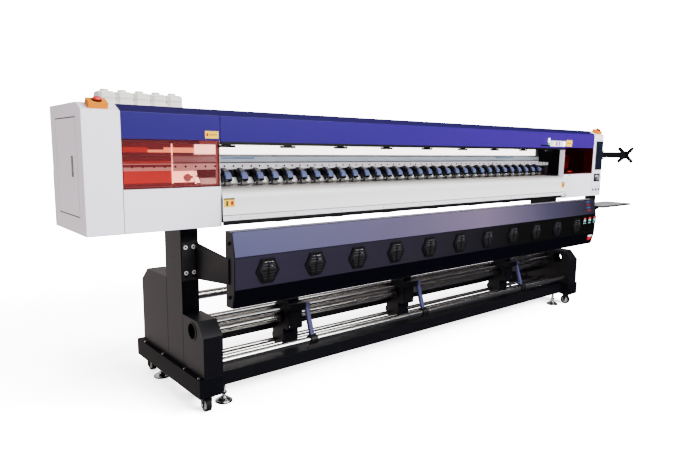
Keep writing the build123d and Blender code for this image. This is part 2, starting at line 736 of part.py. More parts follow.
# --- shelf and monitor arm on the right end -----------------------------------
with BuildPart() as laptop_shelf:
    shelf_x = (housing_end + shelf_reach, housing_end + shelf_reach + shelf_length)
    block(shelf_x, (shelf_front, shelf_front + shelf_depth), (shelf_top - shelf_sheet, shelf_top))
    fillet(laptop_shelf.edges().filter_by(Axis.Z), radius=8)
    # bracket: wall plate, arm under the plate and two gussets
    block((housing_end, housing_end + 5), (40, 140), (shelf_top - 60, housing_bottom + 82))
    block((housing_end + 5, shelf_x[0] + 300), (60, 120), (shelf_top - 20, shelf_top - shelf_sheet))
    for y in (60, 114):
        with BuildSketch(Plane.XZ.offset(-y)):
            with BuildLine():
                Polyline((housing_end + 5, shelf_top - 20), (housing_end + 5, shelf_top - 60),
                         (housing_end + 160, shelf_top - 20), close=True)
            make_face()
        extrude(amount=-6)
keep(laptop_shelf, "laptop_shelf")

pin_radius = 6.0
with BuildPart() as monitor_base:
    block((housing_end, housing_end + 10), (10, 75), (arm_base.Z - 47, arm_base.Z + 47))
    for z in ((arm_base.Z - 42, arm_base.Z - 27), (arm_base.Z + 28, arm_base.Z + 42)):
        block((housing_end + 10, arm_base.X + 20), (arm_base.Y - 18, arm_base.Y + 18), z)
    post(arm_base.X, arm_base.Y, (arm_base.Z - 32, arm_base.Z + 30), pin_radius)
keep(monitor_base, "monitor_base")

reach = arm_tip - arm_base
reach_angle = math.degrees(math.atan2(reach.Y, reach.X))
arm_z = (arm_base.Z - 26, arm_base.Z + 27)
with BuildPart() as monitor_arm:
    middle = (arm_base + arm_tip) / 2
    with BuildSketch(Plane.XY.offset(arm_z[0])):
        with Locations(Location((middle.X, middle.Y, 0), (0, 0, reach_angle))):
            SlotCenterToCenter(reach.length, 34)
    extrude(amount=arm_z[1] - arm_z[0])
    post(arm_base.X, arm_base.Y, arm_z, pin_radius + running, Mode.SUBTRACT)
    post(arm_tip.X, arm_tip.Y, arm_z, pin_radius + running, Mode.SUBTRACT)
keep(monitor_arm, "monitor_arm")

with BuildPart() as monitor_head:
    plate_x = (arm_tip.X + 42, arm_tip.X + 50)
    for z in ((arm_z[0] - 11, arm_z[0] - 1), (arm_z[1] + 1, arm_z[1] + 11)):
        block((arm_tip.X - 12, plate_x[0]), (arm_tip.Y - 14, arm_tip.Y + 14), z)
    post(arm_tip.X, arm_tip.Y, (arm_z[0] - 2, arm_z[1] + 2), pin_radius)
    block((plate_x[0] - 12, plate_x[0]), (arm_tip.Y - 22, arm_tip.Y + 22),
          (arm_z[0] - 11, arm_z[1] + 11))
    with BuildSketch(Plane.YZ.offset(plate_x[0])):
        with Locations(Location((arm_tip.Y, arm_tip.Z), (0, 0, 45))):
            Rectangle(170, 22)
            Rectangle(22, 170)
        with Locations((arm_tip.Y, arm_tip.Z)):
            with GridLocations(vesa_pitch, vesa_pitch, 2, 2):
                Circle(vesa_hole, mode=Mode.SUBTRACT)
    extrude(amount=plate_x[1] - plate_x[0])
keep(monitor_head, "monitor_head")

# --- visible frame bolts, all alike -------------------------------------------
with BuildPart() as frame_bolts:
    for side in (-1, 1):
        for z in (housing_bottom - 268, housing_bottom - 116):
            for x in (column_inner + 32, column_outer - 20):
                stub(side * x, (column_front - 16, column_front - 10), z, 8)
        for y in (-55, 115, 400, 660):
            post(side * (column_outer + 13), y, (skid_high, skid_high + 6), 8)
keep(frame_bolts, "frame_bolts")

# --- write every piece, with the origin under the middle of the machine -------
os.makedirs("parts", exist_ok=True)
boxes = [part.bounding_box() for part in pieces.values()]
low = [min(tuple(box.min)[axis] for box in boxes) for axis in range(3)]
high = [max(tuple(box.max)[axis] for box in boxes) for axis in range(3)]
stand = Location((-(low[0] + high[0]) / 2, -(low[1] + high[1]) / 2, -low[2]))
print("machine box", low, high, "shift", stand.position)
for node, part in pieces.items():
    placed = part.moved(stand)
    placed.label = node
    export_step(placed, f"parts/{node}.step")
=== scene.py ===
import json
import math

import bmesh
import bpy
from mathutils import Matrix, Vector


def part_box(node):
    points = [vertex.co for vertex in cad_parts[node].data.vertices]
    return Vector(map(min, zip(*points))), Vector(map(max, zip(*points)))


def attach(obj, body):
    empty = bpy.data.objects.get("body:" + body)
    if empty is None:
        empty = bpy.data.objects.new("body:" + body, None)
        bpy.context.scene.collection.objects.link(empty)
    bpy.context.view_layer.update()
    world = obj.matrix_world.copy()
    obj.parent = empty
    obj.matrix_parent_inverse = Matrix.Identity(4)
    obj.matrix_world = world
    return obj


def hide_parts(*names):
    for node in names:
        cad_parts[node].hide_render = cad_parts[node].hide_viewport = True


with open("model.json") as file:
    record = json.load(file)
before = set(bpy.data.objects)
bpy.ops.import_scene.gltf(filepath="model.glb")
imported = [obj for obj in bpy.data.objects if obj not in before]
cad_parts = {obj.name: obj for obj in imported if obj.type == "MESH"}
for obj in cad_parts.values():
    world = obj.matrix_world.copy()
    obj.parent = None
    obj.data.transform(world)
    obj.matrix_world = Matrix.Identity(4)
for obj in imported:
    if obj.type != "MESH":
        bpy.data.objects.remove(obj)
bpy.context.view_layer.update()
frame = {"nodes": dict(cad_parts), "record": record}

bl_info = {
    "name": "Roll printer finishes",
    "version": (1, 0, 0),
    "blender": (4, 5, 0),
    "location": "View3D > Sidebar > Roll printer",
    "description": "Covers, trim, rollers, finishes and stage of a wide-format roll printer",
    "category": "Object",
}

MM = 0.001
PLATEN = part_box("platen")
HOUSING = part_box("left_housing")
# Sizes below are in millimetres: X from the middle of the print bay, Y back from the
# housings' front plane, Z up from the floor.
MIDDLE = Vector(((PLATEN[0].x + PLATEN[1].x) / 2, HOUSING[0].y, 0.0))


def extent(node):
    """A CAD node's X, Y and Z spans in millimetres, from the middle and the front plane."""
    low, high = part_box(node)
    low, high = (low - MIDDLE) / MM, (high - MIDDLE) / MM
    return (low.x, high.x), (low.y, high.y), (low.z, high.z)


BAY = extent("platen")[0]
HOUSING_TOP = extent("left_housing")[2][1]
HOUSING_LOW = extent("left_housing")[2][0]
WINDOW_LOW = extent("left_window")[2][0]
CAP = abs(extent("left_window")[0][0]) + 2
GAP = BAY[1] + 2
END = abs(extent("left_housing")[0][0])
DEPTH = extent("rear_cover")[1][1]
RAIL_FRONT = extent("rail_beam")[1][0]
RAIL_LOW, RAIL_HIGH = extent("rail_beam")[2]
PINCH_PITCH = 103.0
PINCH_COUNT = 31
PINCH_PLACES = [extent("pinch_rollers")[0][0] + 24 + PINCH_PITCH * i for i in range(PINCH_COUNT)]
FAN_PLACES = [-1542.0 + 296.0 * i for i in range(11)]
TENSION = extent("tension_tube")
ARM_PLACES = [-1088.0, -133.0, 1045.0]
JOURNAL = 11.8
DRYER_HALF = 1721.0
COLUMN_SIDE = 1807.0
BUTTON_PLACES = (2167, 2221, 2271)
KNOB = (2224, 1123)
MONITOR_BASE = (2345, 30, 1332)
MONITOR_TIP = (2650, -36, 1332)
STOP_SIDE = 2230


# --- sizes and colours a user may change ----------------------------------------
def colour(name, text, red, green, blue):
    """A colour property given as it is seen, from 0 to 255."""
    return bpy.props.FloatVectorProperty(
        name=name, description=text, subtype="COLOR_GAMMA", size=3, min=0.0, max=1.0,
        default=(red / 255, green / 255, blue / 255))


def length(name, text, value):
    """A size property in metres, given in millimetres."""
    return bpy.props.FloatProperty(
        name=name, description=text, subtype="DISTANCE", unit="LENGTH", default=value * MM)


class PrinterColours(bpy.types.PropertyGroup):
    housing: colour("Housing", "Lacquer of the two end housings", 243, 238, 252)
    cover: colour("Cover", "Lacquer of the hinged covers at the left", 33, 22, 90)
    cover_right: colour("Cover right", "Lacquer of the hinged covers at the right", 50, 20, 112)
    frame: colour("Frame", "Powder coat of the legs and beams", 7, 7, 12)
    # The dryer's upper panel is lighter and bluer at its left end as painted reflection, and
    # darker to the right as painted shade.
    dryer_top_left_reflection: colour("Dryer left", "Upper panel of the dryer at its left end", 54, 54, 88)
    dryer_right: colour("Dryer right", "Upper panel of the dryer at its right end", 19, 18, 28)
    # The fan panel is lighter at its left end as painted light.
    dryer_face_left_lit: colour("Dryer face", "Fan panel of the dryer at its left end", 32, 29, 42)
    dryer_foot: colour("Dryer foot", "Lower panel of the dryer", 3, 3, 8)
    window: colour("Window", "Shade of the left acrylic window", 128, 62, 68)
    # The right pane's darker shade is painted shade of the dark bay behind it.
    window_right_shaded: colour("Window right", "Shade of the right acrylic window", 40, 4, 3)
    tank: colour("Ink tank", "Milky plastic of the ink tanks", 253, 247, 234)
    deck: colour("Deck", "Platen and aprons under the media", 255, 255, 255)
    # The deck's greyer top is painted shade and reflection of the covers above it.
    deck_top_shade: colour("Deck top", "Worn, greyer top of the deck", 150, 146, 140)


class PrinterSizes(bpy.types.PropertyGroup):
    edge: length("Edge", "Rounding of sheet-metal edges", 1.6)
    tube_edge: length("Tube edge", "Rounding of the frame's tubes", 3.0)
    seam: length("Seam", "Width of the joints between panels", 2.6)
    screw: length("Screw", "Radius of the small panel screws", 4.0)
    rail_pitch: length("Rail pitch", "Distance between the rail's screws", 58.0)
    cowl: length("Cowl", "How far a fan cowl stands out", 14.0)


# --- mesh helpers ------------------------------------------------------------------
def box(bm, x, y, z, finish=0):
    """A block between two X, two Y and two Z values; its corners are returned."""
    corners = bmesh.ops.create_cube(bm, size=1.0)["verts"]
    bmesh.ops.scale(bm, vec=(x[1] - x[0], y[1] - y[0], z[1] - z[0]), verts=corners)
    middle = ((x[0] + x[1]) / 2, (y[0] + y[1]) / 2, (z[0] + z[1]) / 2)
    bmesh.ops.translate(bm, vec=middle, verts=corners)
    paint(corners, finish)
    return corners


TURNS = {
    "X": Matrix.Rotation(math.pi / 2, 3, "Y"),
    "Y": Matrix.Rotation(-math.pi / 2, 3, "X"),
    "Z": Matrix.Identity(3),
}


def rod(bm, centre, radius, size, along="X", finish=0, sides=32, tip=None):
    """A round bar, or a cone when tip is given; its corners are returned."""
    corners = bmesh.ops.create_cone(
        bm, cap_ends=True, segments=sides, radius1=radius,
        radius2=radius if tip is None else tip, depth=size)["verts"]
    bmesh.ops.rotate(bm, cent=(0, 0, 0), matrix=TURNS[along], verts=corners)
    bmesh.ops.translate(bm, vec=centre, verts=corners)
    paint(corners, finish)
    return corners


def ring(bm, centre, inner, outer, size, along="X", finish=0, sides=40):
    """A round collar, spun from its rectangular section."""
    spans = ((inner, -size / 2), (outer, -size / 2), (outer, size / 2), (inner, size / 2))
    section = [bm.verts.new((r, 0, h)) for r, h in spans]
    edges = [bm.edges.new((section[i], section[(i + 1) % 4])) for i in range(4)]
    before = set(bm.verts) - set(section)
    bmesh.ops.spin(bm, geom=section + edges, cent=(0, 0, 0), axis=(0, 0, 1), dvec=(0, 0, 0),
                   angle=2 * math.pi, steps=sides, use_merge=True, use_duplicate=False)
    corners = [v for v in bm.verts if v not in before]
    bmesh.ops.rotate(bm, cent=(0, 0, 0), matrix=TURNS[along], verts=corners)
    bmesh.ops.translate(bm, vec=centre, verts=corners)
    paint(corners, finish)
    return corners


def run_outline(bm, points, shift, finish):
    """Make a face from points and run it along a shift; the corners are returned."""
    face = bm.faces.new([bm.verts.new(point) for point in points])
    grown = bmesh.ops.extrude_face_region(bm, geom=[face])["geom"]
    moved = [v for v in grown if isinstance(v, bmesh.types.BMVert)]
    bmesh.ops.translate(bm, vec=shift, verts=moved)
    corners = list(face.verts) + moved
    paint(corners, finish)
    return corners


def prism(bm, outline, x, finish=0):
    """A closed outline in Y and Z, run along X between two values."""
    return run_outline(bm, [(x[0], y, z) for y, z in outline], (x[1] - x[0], 0, 0), finish)


def plate(bm, outline, y, finish=0):
    """A closed outline in X and Z, run along Y between two values."""
    return run_outline(bm, [(x, y[0], z) for x, z in outline], (0, y[1] - y[0], 0), finish)


def paint(corners, finish):
    """Give the faces round these corners a finish, by its number on the piece."""
    chosen = set(corners)
    for face in {f for v in chosen for f in v.link_faces}:
        if chosen.issuperset(face.verts):
            face.material_index = finish


def tilt(bm, corners, pivot, degrees, axis="X"):
    """Turn part of a mesh about an axis through a point."""
    bmesh.ops.rotate(bm, cent=pivot, matrix=Matrix.Rotation(math.radians(degrees), 3, axis),
                     verts=corners)


def add_piece(name, bm, body, finishes, replaces=(), edge=0.0, in_mm=True):
    """Turn a mesh into a named piece that rides on a CAD body."""
    bmesh.ops.recalc_face_normals(bm, faces=bm.faces[:])
    if in_mm:
        bmesh.ops.scale(bm, vec=(MM, MM, MM), verts=bm.verts[:])
        bmesh.ops.translate(bm, vec=MIDDLE, verts=bm.verts[:])
    mesh = bpy.data.meshes.new(name)
    bm.to_mesh(mesh)
    bm.free()
    mesh.polygons.foreach_set("use_smooth", [True] * len(mesh.polygons))
    mesh.set_sharp_from_angle(angle=math.radians(32))
    piece = bpy.data.objects.new(name, mesh)
    bpy.context.scene.collection.objects.link(piece)
    for finish in finishes:
        mesh.materials.append(FINISHES[finish])
    if edge:
        rounding = piece.modifiers.new("Rounded edges", "BEVEL")
        rounding.width = edge
        rounding.segments = 2
        rounding.limit_method = "ANGLE"
        rounding.angle_limit = math.radians(32)
        rounding.harden_normals = True
        rounding.use_clamp_overlap = True
    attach(piece, body)
    if replaces:
        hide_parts(*replaces)
    return piece


def body_of(node):
    """The CAD body that a node belongs to."""
    for body, members in frame["record"]["behaviour"]["bodies"].items():
        if node in members:
            return body
    return "root"


def dress(node, name, finishes, edge, choose=None):
    """Stand a merged copy of a CAD node, with rounded edges, in the node's place."""
    bm = bmesh.new()
    bm.from_mesh(frame["nodes"][node].data)
    bmesh.ops.remove_doubles(bm, verts=bm.verts[:], dist=0.00002)
    bmesh.ops.dissolve_limit(bm, angle_limit=math.radians(0.6), use_dissolve_boundaries=False,
                             verts=bm.verts[:], edges=bm.edges[:], delimit={"NORMAL"})
    for face in bm.faces:
        face.material_index = choose(face) if choose else 0
    return add_piece(name, bm, body_of(node), finishes, (node,), edge,
                     in_mm=False)


def keep_node(node, finish):
    """Give a CAD node whose shape is right its finish."""
    item = frame["nodes"][node]
    item.data.materials.clear()
    item.data.materials.append(FINISHES[finish])


# --- finishes ----------------------------------------------------------------------
FINISHES = {}


def linear(shade):
    """A colour as it is seen, turned into light values."""
    return tuple(c / 12.92 if c <= 0.04045 else ((c + 0.055) / 1.055) ** 2.4 for c in shade)


def start_finish(name):
    """A new material with its shader; returns its nodes, its links and the shader."""
    material = bpy.data.materials.new(name)
    material.use_nodes = True
    nodes, links = material.node_tree.nodes, material.node_tree.links
    FINISHES[name] = material
    return nodes, links, nodes["Principled BSDF"]


def pattern(nodes, links, scale, stretch=(1, 1, 1), detail=3.0):
    """Noise on object coordinates, in features per metre, stretched along an axis."""
    place = nodes.new("ShaderNodeTexCoord")
    turn = nodes.new("ShaderNodeMapping")
    turn.inputs["Scale"].default_value = stretch
    noise = nodes.new("ShaderNodeTexNoise")
    noise.inputs["Scale"].default_value = scale
    noise.inputs["Detail"].default_value = detail
    links.new(place.outputs["Object"], turn.inputs["Vector"])
    links.new(turn.outputs["Vector"], noise.inputs["Vector"])
    return noise.outputs["Fac"]


def shades(nodes, links, source, dark, light, low=0.3, high=0.7):
    """A ramp between two colours."""
    ramp = nodes.new("ShaderNodeValToRGB")
    ramp.color_ramp.elements[0].position = low
    ramp.color_ramp.elements[1].position = high
    ramp.color_ramp.elements[0].color = (*dark, 1)
    ramp.color_ramp.elements[1].color = (*light, 1)
    links.new(source, ramp.inputs["Fac"])
    return ramp.outputs["Color"]


def between(nodes, links, source, low, high):
    """The pattern's value spread between two numbers."""
    span = nodes.new("ShaderNodeMapRange")
    span.inputs["From Min"].default_value = 0.3
    span.inputs["From Max"].default_value = 0.7
    span.inputs["To Min"].default_value = low
    span.inputs["To Max"].default_value = high
    links.new(source, span.inputs["Value"])
    return span.outputs["Result"]


def relief(nodes, links, shader, source, height):
    """Raise the surface by the pattern, with a height in millimetres."""
    bump = nodes.new("ShaderNodeBump")
    bump.inputs["Strength"].default_value = 0.6
    bump.inputs["Distance"].default_value = height * MM
    links.new(source, bump.inputs["Height"])
    links.new(bump.outputs["Normal"], shader.inputs["Normal"])


def coated(name, shade, rough, mottle=0.05, grain=900.0, height=0.02, metal=0.0, coat=0.0,
           stretch=(1, 1, 1), wide=3.0, specular=0.5):
    """A surface with slow colour variation, uneven gloss and a fine grain."""
    nodes, links, shader = start_finish(name)
    base = linear(shade)
    broad = pattern(nodes, links, wide, detail=2.0)
    fine = pattern(nodes, links, grain, stretch)
    dark = tuple(c * (1 - mottle) for c in base)
    light = tuple(min(1.0, c * (1 + mottle)) for c in base)
    links.new(shades(nodes, links, broad, dark, light), shader.inputs["Base Color"])
    links.new(between(nodes, links, fine, rough * 0.88, min(1.0, rough * 1.12)),
              shader.inputs["Roughness"])
    shader.inputs["Metallic"].default_value = metal
    shader.inputs["Coat Weight"].default_value = coat
    shader.inputs["Coat Roughness"].default_value = 0.08
    shader.inputs["Specular IOR Level"].default_value = specular
    relief(nodes, links, shader, fine, height)
    return shader


def graded(name, axis, stops, rough, specular=0.5):
    """A lacquer whose shade changes along an axis, by stops of millimetres and colour; on the
    dryer and the deck the change is painted reflection and shade.
    """
    nodes, links, shader = start_finish(name)
    place = nodes.new("ShaderNodeTexCoord")
    split = nodes.new("ShaderNodeSeparateXYZ")
    links.new(place.outputs["Object"], split.inputs["Vector"])
    zero = MIDDLE["XYZ".index(axis)]
    span = nodes.new("ShaderNodeMapRange")
    span.inputs["From Min"].default_value = zero + stops[0][0] * MM
    span.inputs["From Max"].default_value = zero + stops[-1][0] * MM
    links.new(split.outputs[axis], span.inputs["Value"])
    ramp = nodes.new("ShaderNodeValToRGB")
    reach = stops[-1][0] - stops[0][0]
    for i, (place_mm, shade) in enumerate(stops):
        share = (place_mm - stops[0][0]) / reach
        knots = ramp.color_ramp.elements
        knot = knots[0] if i == 0 else knots[-1] if i == len(stops) - 1 else knots.new(share)
        knot.position = share
        knot.color = (*linear(shade), 1)
    links.new(span.outputs["Result"], ramp.inputs["Fac"])
    links.new(ramp.outputs["Color"], shader.inputs["Base Color"])
    fine = pattern(nodes, links, 1100)
    links.new(between(nodes, links, fine, rough * 0.88, rough * 1.12), shader.inputs["Roughness"])
    shader.inputs["Specular IOR Level"].default_value = specular
    relief(nodes, links, shader, fine, 0.02)


def glow(name, shade, strength):
    """A lit surface such as a lamp cover or a display's figures, and painted light on surfaces
    that are no lamps.
    """
    nodes, links, shader = start_finish(name)
    base = linear(shade)
    soft = pattern(nodes, links, 6.0)
    dark = tuple(c * 0.94 for c in base)
    links.new(shades(nodes, links, soft, dark, base), shader.inputs["Base Color"])
    shader.inputs["Emission Color"].default_value = (*base, 1)
    shader.inputs["Emission Strength"].default_value = strength
    shader.inputs["Roughness"].default_value = 0.4


def tinted_pane(name, shade, tint, share):
    """Clear acrylic that tints what is behind it, with a share of its own shade."""
    nodes, links, shader = start_finish(name)
    base = linear(shade)
    haze = pattern(nodes, links, 5.0)
    dark = tuple(c * 0.75 for c in base)
    links.new(shades(nodes, links, haze, dark, base), shader.inputs["Base Color"])
    shader.inputs["Roughness"].default_value = 0.05
    clear = nodes.new("ShaderNodeBsdfTransparent")
    clear.inputs["Color"].default_value = (*tint, 1)
    mix = nodes.new("ShaderNodeMixShader")
    mix.inputs["Fac"].default_value = share
    links.new(clear.outputs["BSDF"], mix.inputs[1])
    links.new(shader.outputs["BSDF"], mix.inputs[2])
    links.new(mix.outputs["Shader"], nodes["Material Output"].inputs["Surface"])


def milky(name, shade):
    """Thin milky plastic that lets some light in."""
    shader = coated(name, shade, 0.34, mottle=0.03, grain=260.0, height=0.04)
    shader.inputs["Subsurface Weight"].default_value = 0.35
    shader.inputs["Subsurface Radius"].default_value = (0.02, 0.016, 0.012)
    shader.inputs["Subsurface Scale"].default_value = 1.0


def make_finishes(colours):
    """Every finish on the machine."""
    black, steel = (0.02, 0.02, 0.025), (0.78, 0.78, 0.80)
    coated("housing lacquer", colours.housing, 0.28, 0.012, 700, 0.012, coat=0.3, wide=1.2)
    graded("cover lacquer", "X", ((-END, colours.cover), (END, colours.cover_right)), 0.3, 0.16)
    # A darker, duller copy of the cover lacquer: painted shade on the covers' tops and sloped
    # front edges.
    coated("cover painted shade lacquer", tuple(c * 0.7 for c in colours.cover), 0.5, 0.03, 800,
           0.010, specular=0.04)
    coated("powder coat", colours.frame, 0.42, 0.10, 1500, 0.05, specular=0.20)
    coated("skid coat", colours.frame, 0.5, 0.10, 1500, 0.05, specular=0.05)
    coated("carriage plastic", black, 0.6, 0.10, 1100, 0.05, specular=0.03)
    # Painted reflection and shade: the upper panel is lighter and bluer at the left end, with
    # lighter and darker stretches along X.
    graded("dryer top panel painted reflection", "X", ((-DRYER_HALF, colours.dryer_top_left_reflection), (-600, (0.26, 0.235, 0.33)),
                                    (200, (0.32, 0.28, 0.36)), (1000, (0.18, 0.165, 0.24)),
                                    (DRYER_HALF, colours.dryer_right)), 0.4, 0.25)
    # Painted light: the fan panel is lighter at the left end and fades to black towards the right.
    graded("dryer fan panel painted light", "X", ((-DRYER_HALF, colours.dryer_face_left_lit), (-400, (0.10, 0.09, 0.12)),
                                    (600, (0.03, 0.03, 0.03)), (DRYER_HALF, (0.02, 0.02, 0.02))),
           0.4, 0.05)
    coated("dryer foot panel", colours.dryer_foot, 0.40, 0.10, 1300, 0.03, specular=0.03)
    deck_top_shade = colours.deck_top_shade
    # Painted shade: the deck darkens up the roll towards its top, as shade and reflection of the
    # covers' dark undersides.
    graded("deck lacquer painted shade", "Z", ((985, colours.deck), (1020, colours.deck),
                                 (1060, (0.95, 0.95, 0.955)), (1092, (0.90, 0.90, 0.905)),
                                 (1120, (0.84, 0.84, 0.84)), (1139, (0.66, 0.65, 0.63)),
                                 (1147, deck_top_shade)), 0.36, 0.35)
    coated("anodised aluminium", (0.80, 0.81, 0.83), 0.32, 0.03, 500, 0.02, metal=0.85,
           stretch=(0.02, 1, 1))
    band = coated("rail blue anodised painted glow", (0.86, 0.91, 0.96), 0.30, 0.03, 500, 0.02, metal=0.1,
                  stretch=(0.02, 1, 1))
    # Painted light: the band glows to brighten it in the covers' shade; it is no lamp.
    band.inputs["Emission Color"].default_value = (0.70, 0.80, 0.92, 1)
    band.inputs["Emission Strength"].default_value = 0.18
    coated("ground steel", (0.86, 0.85, 0.83), 0.20, 0.03, 90, 0.004, metal=1.0)
    coated("satin steel", steel, 0.30, 0.05, 200, 0.008, metal=1.0)
    coated("cast zinc", (0.80, 0.81, 0.83), 0.20, 0.04, 300, 0.03, metal=1.0)
    coated("black plastic", black, 0.45, 0.10, 1100, 0.05, specular=0.2)
    coated("glossy black plastic", (0.025, 0.025, 0.03), 0.14, 0.10, 300, 0.006, coat=0.5)
    coated("roller rubber", (0.30, 0.29, 0.28), 0.62, 0.12, 700, 0.08)
    coated("tyre rubber", (0.04, 0.04, 0.04), 0.70, 0.15, 600, 0.12, specular=0.2)
    coated("cowl plastic", (0.03, 0.03, 0.035), 0.5, 0.10, 900, 0.04, specular=0.1)
    # A lighter grey for the upper slats of the fan cowls: a painted highlight.
    coated("cowl bars painted highlight", (0.16, 0.15, 0.17), 0.4, 0.10, 900, 0.04, specular=0.3)
    coated("wheel hub", (0.80, 0.80, 0.79), 0.42, 0.03, 400, 0.03)
    coated("tension arm lacquer", (0.22, 0.22, 0.36), 0.34, 0.06, 900, 0.02, specular=0.3)
    coated("pinch cap plastic", (0.33, 0.37, 0.54), 0.36, 0.08, 600, 0.04)
    coated("pinch lever plastic", (0.10, 0.11, 0.17), 0.40, 0.10, 600, 0.04)
    coated("white strip", (0.95, 0.95, 0.96), 0.30, 0.01, 500, 0.01)
    coated("safety yellow", (0.84, 0.48, 0.0), 0.45, 0.04, 700, 0.02, specular=0.03)
    coated("stop red", (0.80, 0.03, 0.02), 0.26, 0.05, 500, 0.02, coat=0.4)
    coated("label yellow", (0.92, 0.72, 0.0), 0.6, 0.03, 500, 0.01, specular=0.02)
    coated("label ink", (0.22, 0.18, 0.10), 0.5, 0.05, 500, 0.01)
    for name, shade, rough in (("label red", (0.62, 0.03, 0.09), 0.4),
                               ("label blue", (0.20, 0.50, 0.82), 0.4),
                               ("mark red", (0.42, 0.05, 0.12), 0.5),
                               ("mark blue", (0.16, 0.24, 0.42), 0.5)):
        coated(name, shade, rough, 0.04, 500, 0.01, specular=0.1)
    coated("label mint", (0.62, 0.86, 0.85), 0.4, 0.04, 500, 0.01)
    coated("button blue", (0.12, 0.12, 0.42), 0.30, 0.06, 500, 0.02)
    coated("shelf top", (0.62, 0.62, 0.63), 0.35, 0.06, 1000, 0.05)
    coated("seam shadow", (0.10, 0.10, 0.11), 0.7, 0.05, 500, 0.01, specular=0.1)
    coated("screen glass", (0.05, 0.07, 0.12), 0.06, 0.3, 30, 0.002, coat=0.8, wide=9)
    glow("lamp cover", (1.0, 0.97, 0.95), 5.0)
    # Painted light: the rail's screw strip glows to brighten it in the covers' shade.
    glow("rail screw strip painted glow", (0.95, 0.93, 0.96), 0.6)
    # Painted light for the bays seen through the windows; the dark and mauve ones are dim glows
    # standing for shaded bands.
    glow("bay painted light", (1.0, 0.88, 0.82), 5.0)
    glow("bay painted light red", (0.82, 0.24, 0.19), 0.75)
    glow("bay painted light orange", (1.0, 0.72, 0.50), 2.4)
    glow("bay painted light dark", (0.42, 0.22, 0.27), 0.5)
    glow("bay painted light mauve", (0.70, 0.48, 0.50), 0.6)
    glow("display digits", (0.55, 0.95, 0.95), 1.6)
    glow("display red", (0.95, 0.18, 0.16), 1.2)
    glow("lamp green", (0.25, 0.85, 0.35), 0.8)
    tinted_pane("left window acrylic", colours.window, (0.96, 0.64, 0.58), 0.16)
    # Painted shade: the right pane's tint and shade are much darker than the left pane's, standing
    # for the dark bay behind it; the amber tint itself is real.
    tinted_pane("right window acrylic", colours.window_right_shaded, (0.42, 0.10, 0.08), 0.10)
    milky("tank plastic", colours.tank)
    coated("window edge", (0.30, 0.10, 0.11), 0.22, 0.08, 500, 0.01, specular=0.2)
    coated("tank cap plastic", (0.88, 0.87, 0.84), 0.42, 0.03, 500, 0.03)
    coated("floor", (0.965, 0.965, 0.965), 0.75, 0.004, 40, 0.001, wide=0.4, specular=0.2)


# --- end housings ------------------------------------------------------------------
def make_housings(sizes):
    """White end housings with their panel joints, back panels and door."""
    for side, hand in ((-1, "left"), (1, "right")):
        dress(f"{hand}_housing", f"{hand}_housing_shell", ["housing lacquer"], sizes.edge)
        bm = bmesh.new()
        seam = sizes.seam / MM / 2
        # the joint between the closed end and the bay, and the ones round the back panel
        box(bm, (side * CAP - seam, side * CAP + seam), (-0.5, 0.6), (HOUSING_LOW + 2, WINDOW_LOW))
        back = sorted((side * (GAP + 60), side * (END - 60)))
        low, high = HOUSING_LOW + 50, 1330
        for z in (low, high):
            box(bm, back, (DEPTH - 0.5, DEPTH + 0.6), (z - seam, z + seam))
        for x in back:
            box(bm, (x - seam, x + seam), (DEPTH - 0.5, DEPTH + 0.6), (low, high))
        add_piece(f"{hand}_housing_joints", bm, "root", ["seam shadow"])
        make_back_panel(hand, back, (low, high), sizes)
    door_x, door_y, door_z = extent("side_door")
    dress("side_door", "side_door_panel", ["housing lacquer"], sizes.edge * 0.5)
    bm = bmesh.new()
    for z in (door_z[0], door_z[1]):
        box(bm, (door_x[0] - 0.6, door_x[0] + 0.4), (door_y[0] + 2, door_y[1] - 2),
            (z - 2.2, z + 2.2))
    for y in door_y:
        box(bm, (door_x[0] - 0.4, door_x[0] + 0.4), (y - 1.2, y + 1.2),
            (door_z[0] + 2, door_z[1] - 2), 1)
    # dark cup behind the finger slot, and the rim round it
    cup_y, cup_z = (156, 178), (1218, 1312)
    box(bm, (door_x[1] - 1.9, door_x[1] + 12), cup_y, cup_z, 2)
    for y in (157.5, 176.5):
        box(bm, (door_x[0] - 1.6, door_x[0] + 0.4), (y - 2.5, y + 2.5), cup_z, 2)
    for z in (1219.5, 1310.5):
        box(bm, (door_x[0] - 1.6, door_x[0] + 0.4), cup_y, (z - 2.5, z + 2.5), 2)
    add_piece("side_door_shadow_lines", bm, "side_door",
              ["seam shadow", "satin steel", "glossy black plastic"])


def make_back_panel(hand, x, z, sizes):
    """Vent slots and screws of a removable panel on a housing's back."""
    bm = bmesh.new()
    middle = (x[0] + x[1]) / 2
    for column in (-1, 0, 1):
        for row in range(9):
            low = z[0] + 70 + 16 * row
            box(bm, (middle + column * 130 - 50, middle + column * 130 + 50),
                (DEPTH - 0.2, DEPTH + 1.2), (low, low + 6), 0)
    for px in (x[0] + 14, middle, x[1] - 14):
        for pz in (z[0] + 14, z[1] - 14):
            rod(bm, (px, DEPTH + 1.2, pz), sizes.screw / MM, 2.4, "Y", 1, 12)
    add_piece(f"{hand}_housing_vents", bm, "root", ["seam shadow", "cast zinc"])


# --- covers and windows ------------------------------------------------------------
def cover_shaded_side(face):
    """The sloped front edge and the top of a cover get a darker, duller copy of its lacquer, as
    painted shade.
    """
    return 1 if face.normal.z > 0.15 else 0


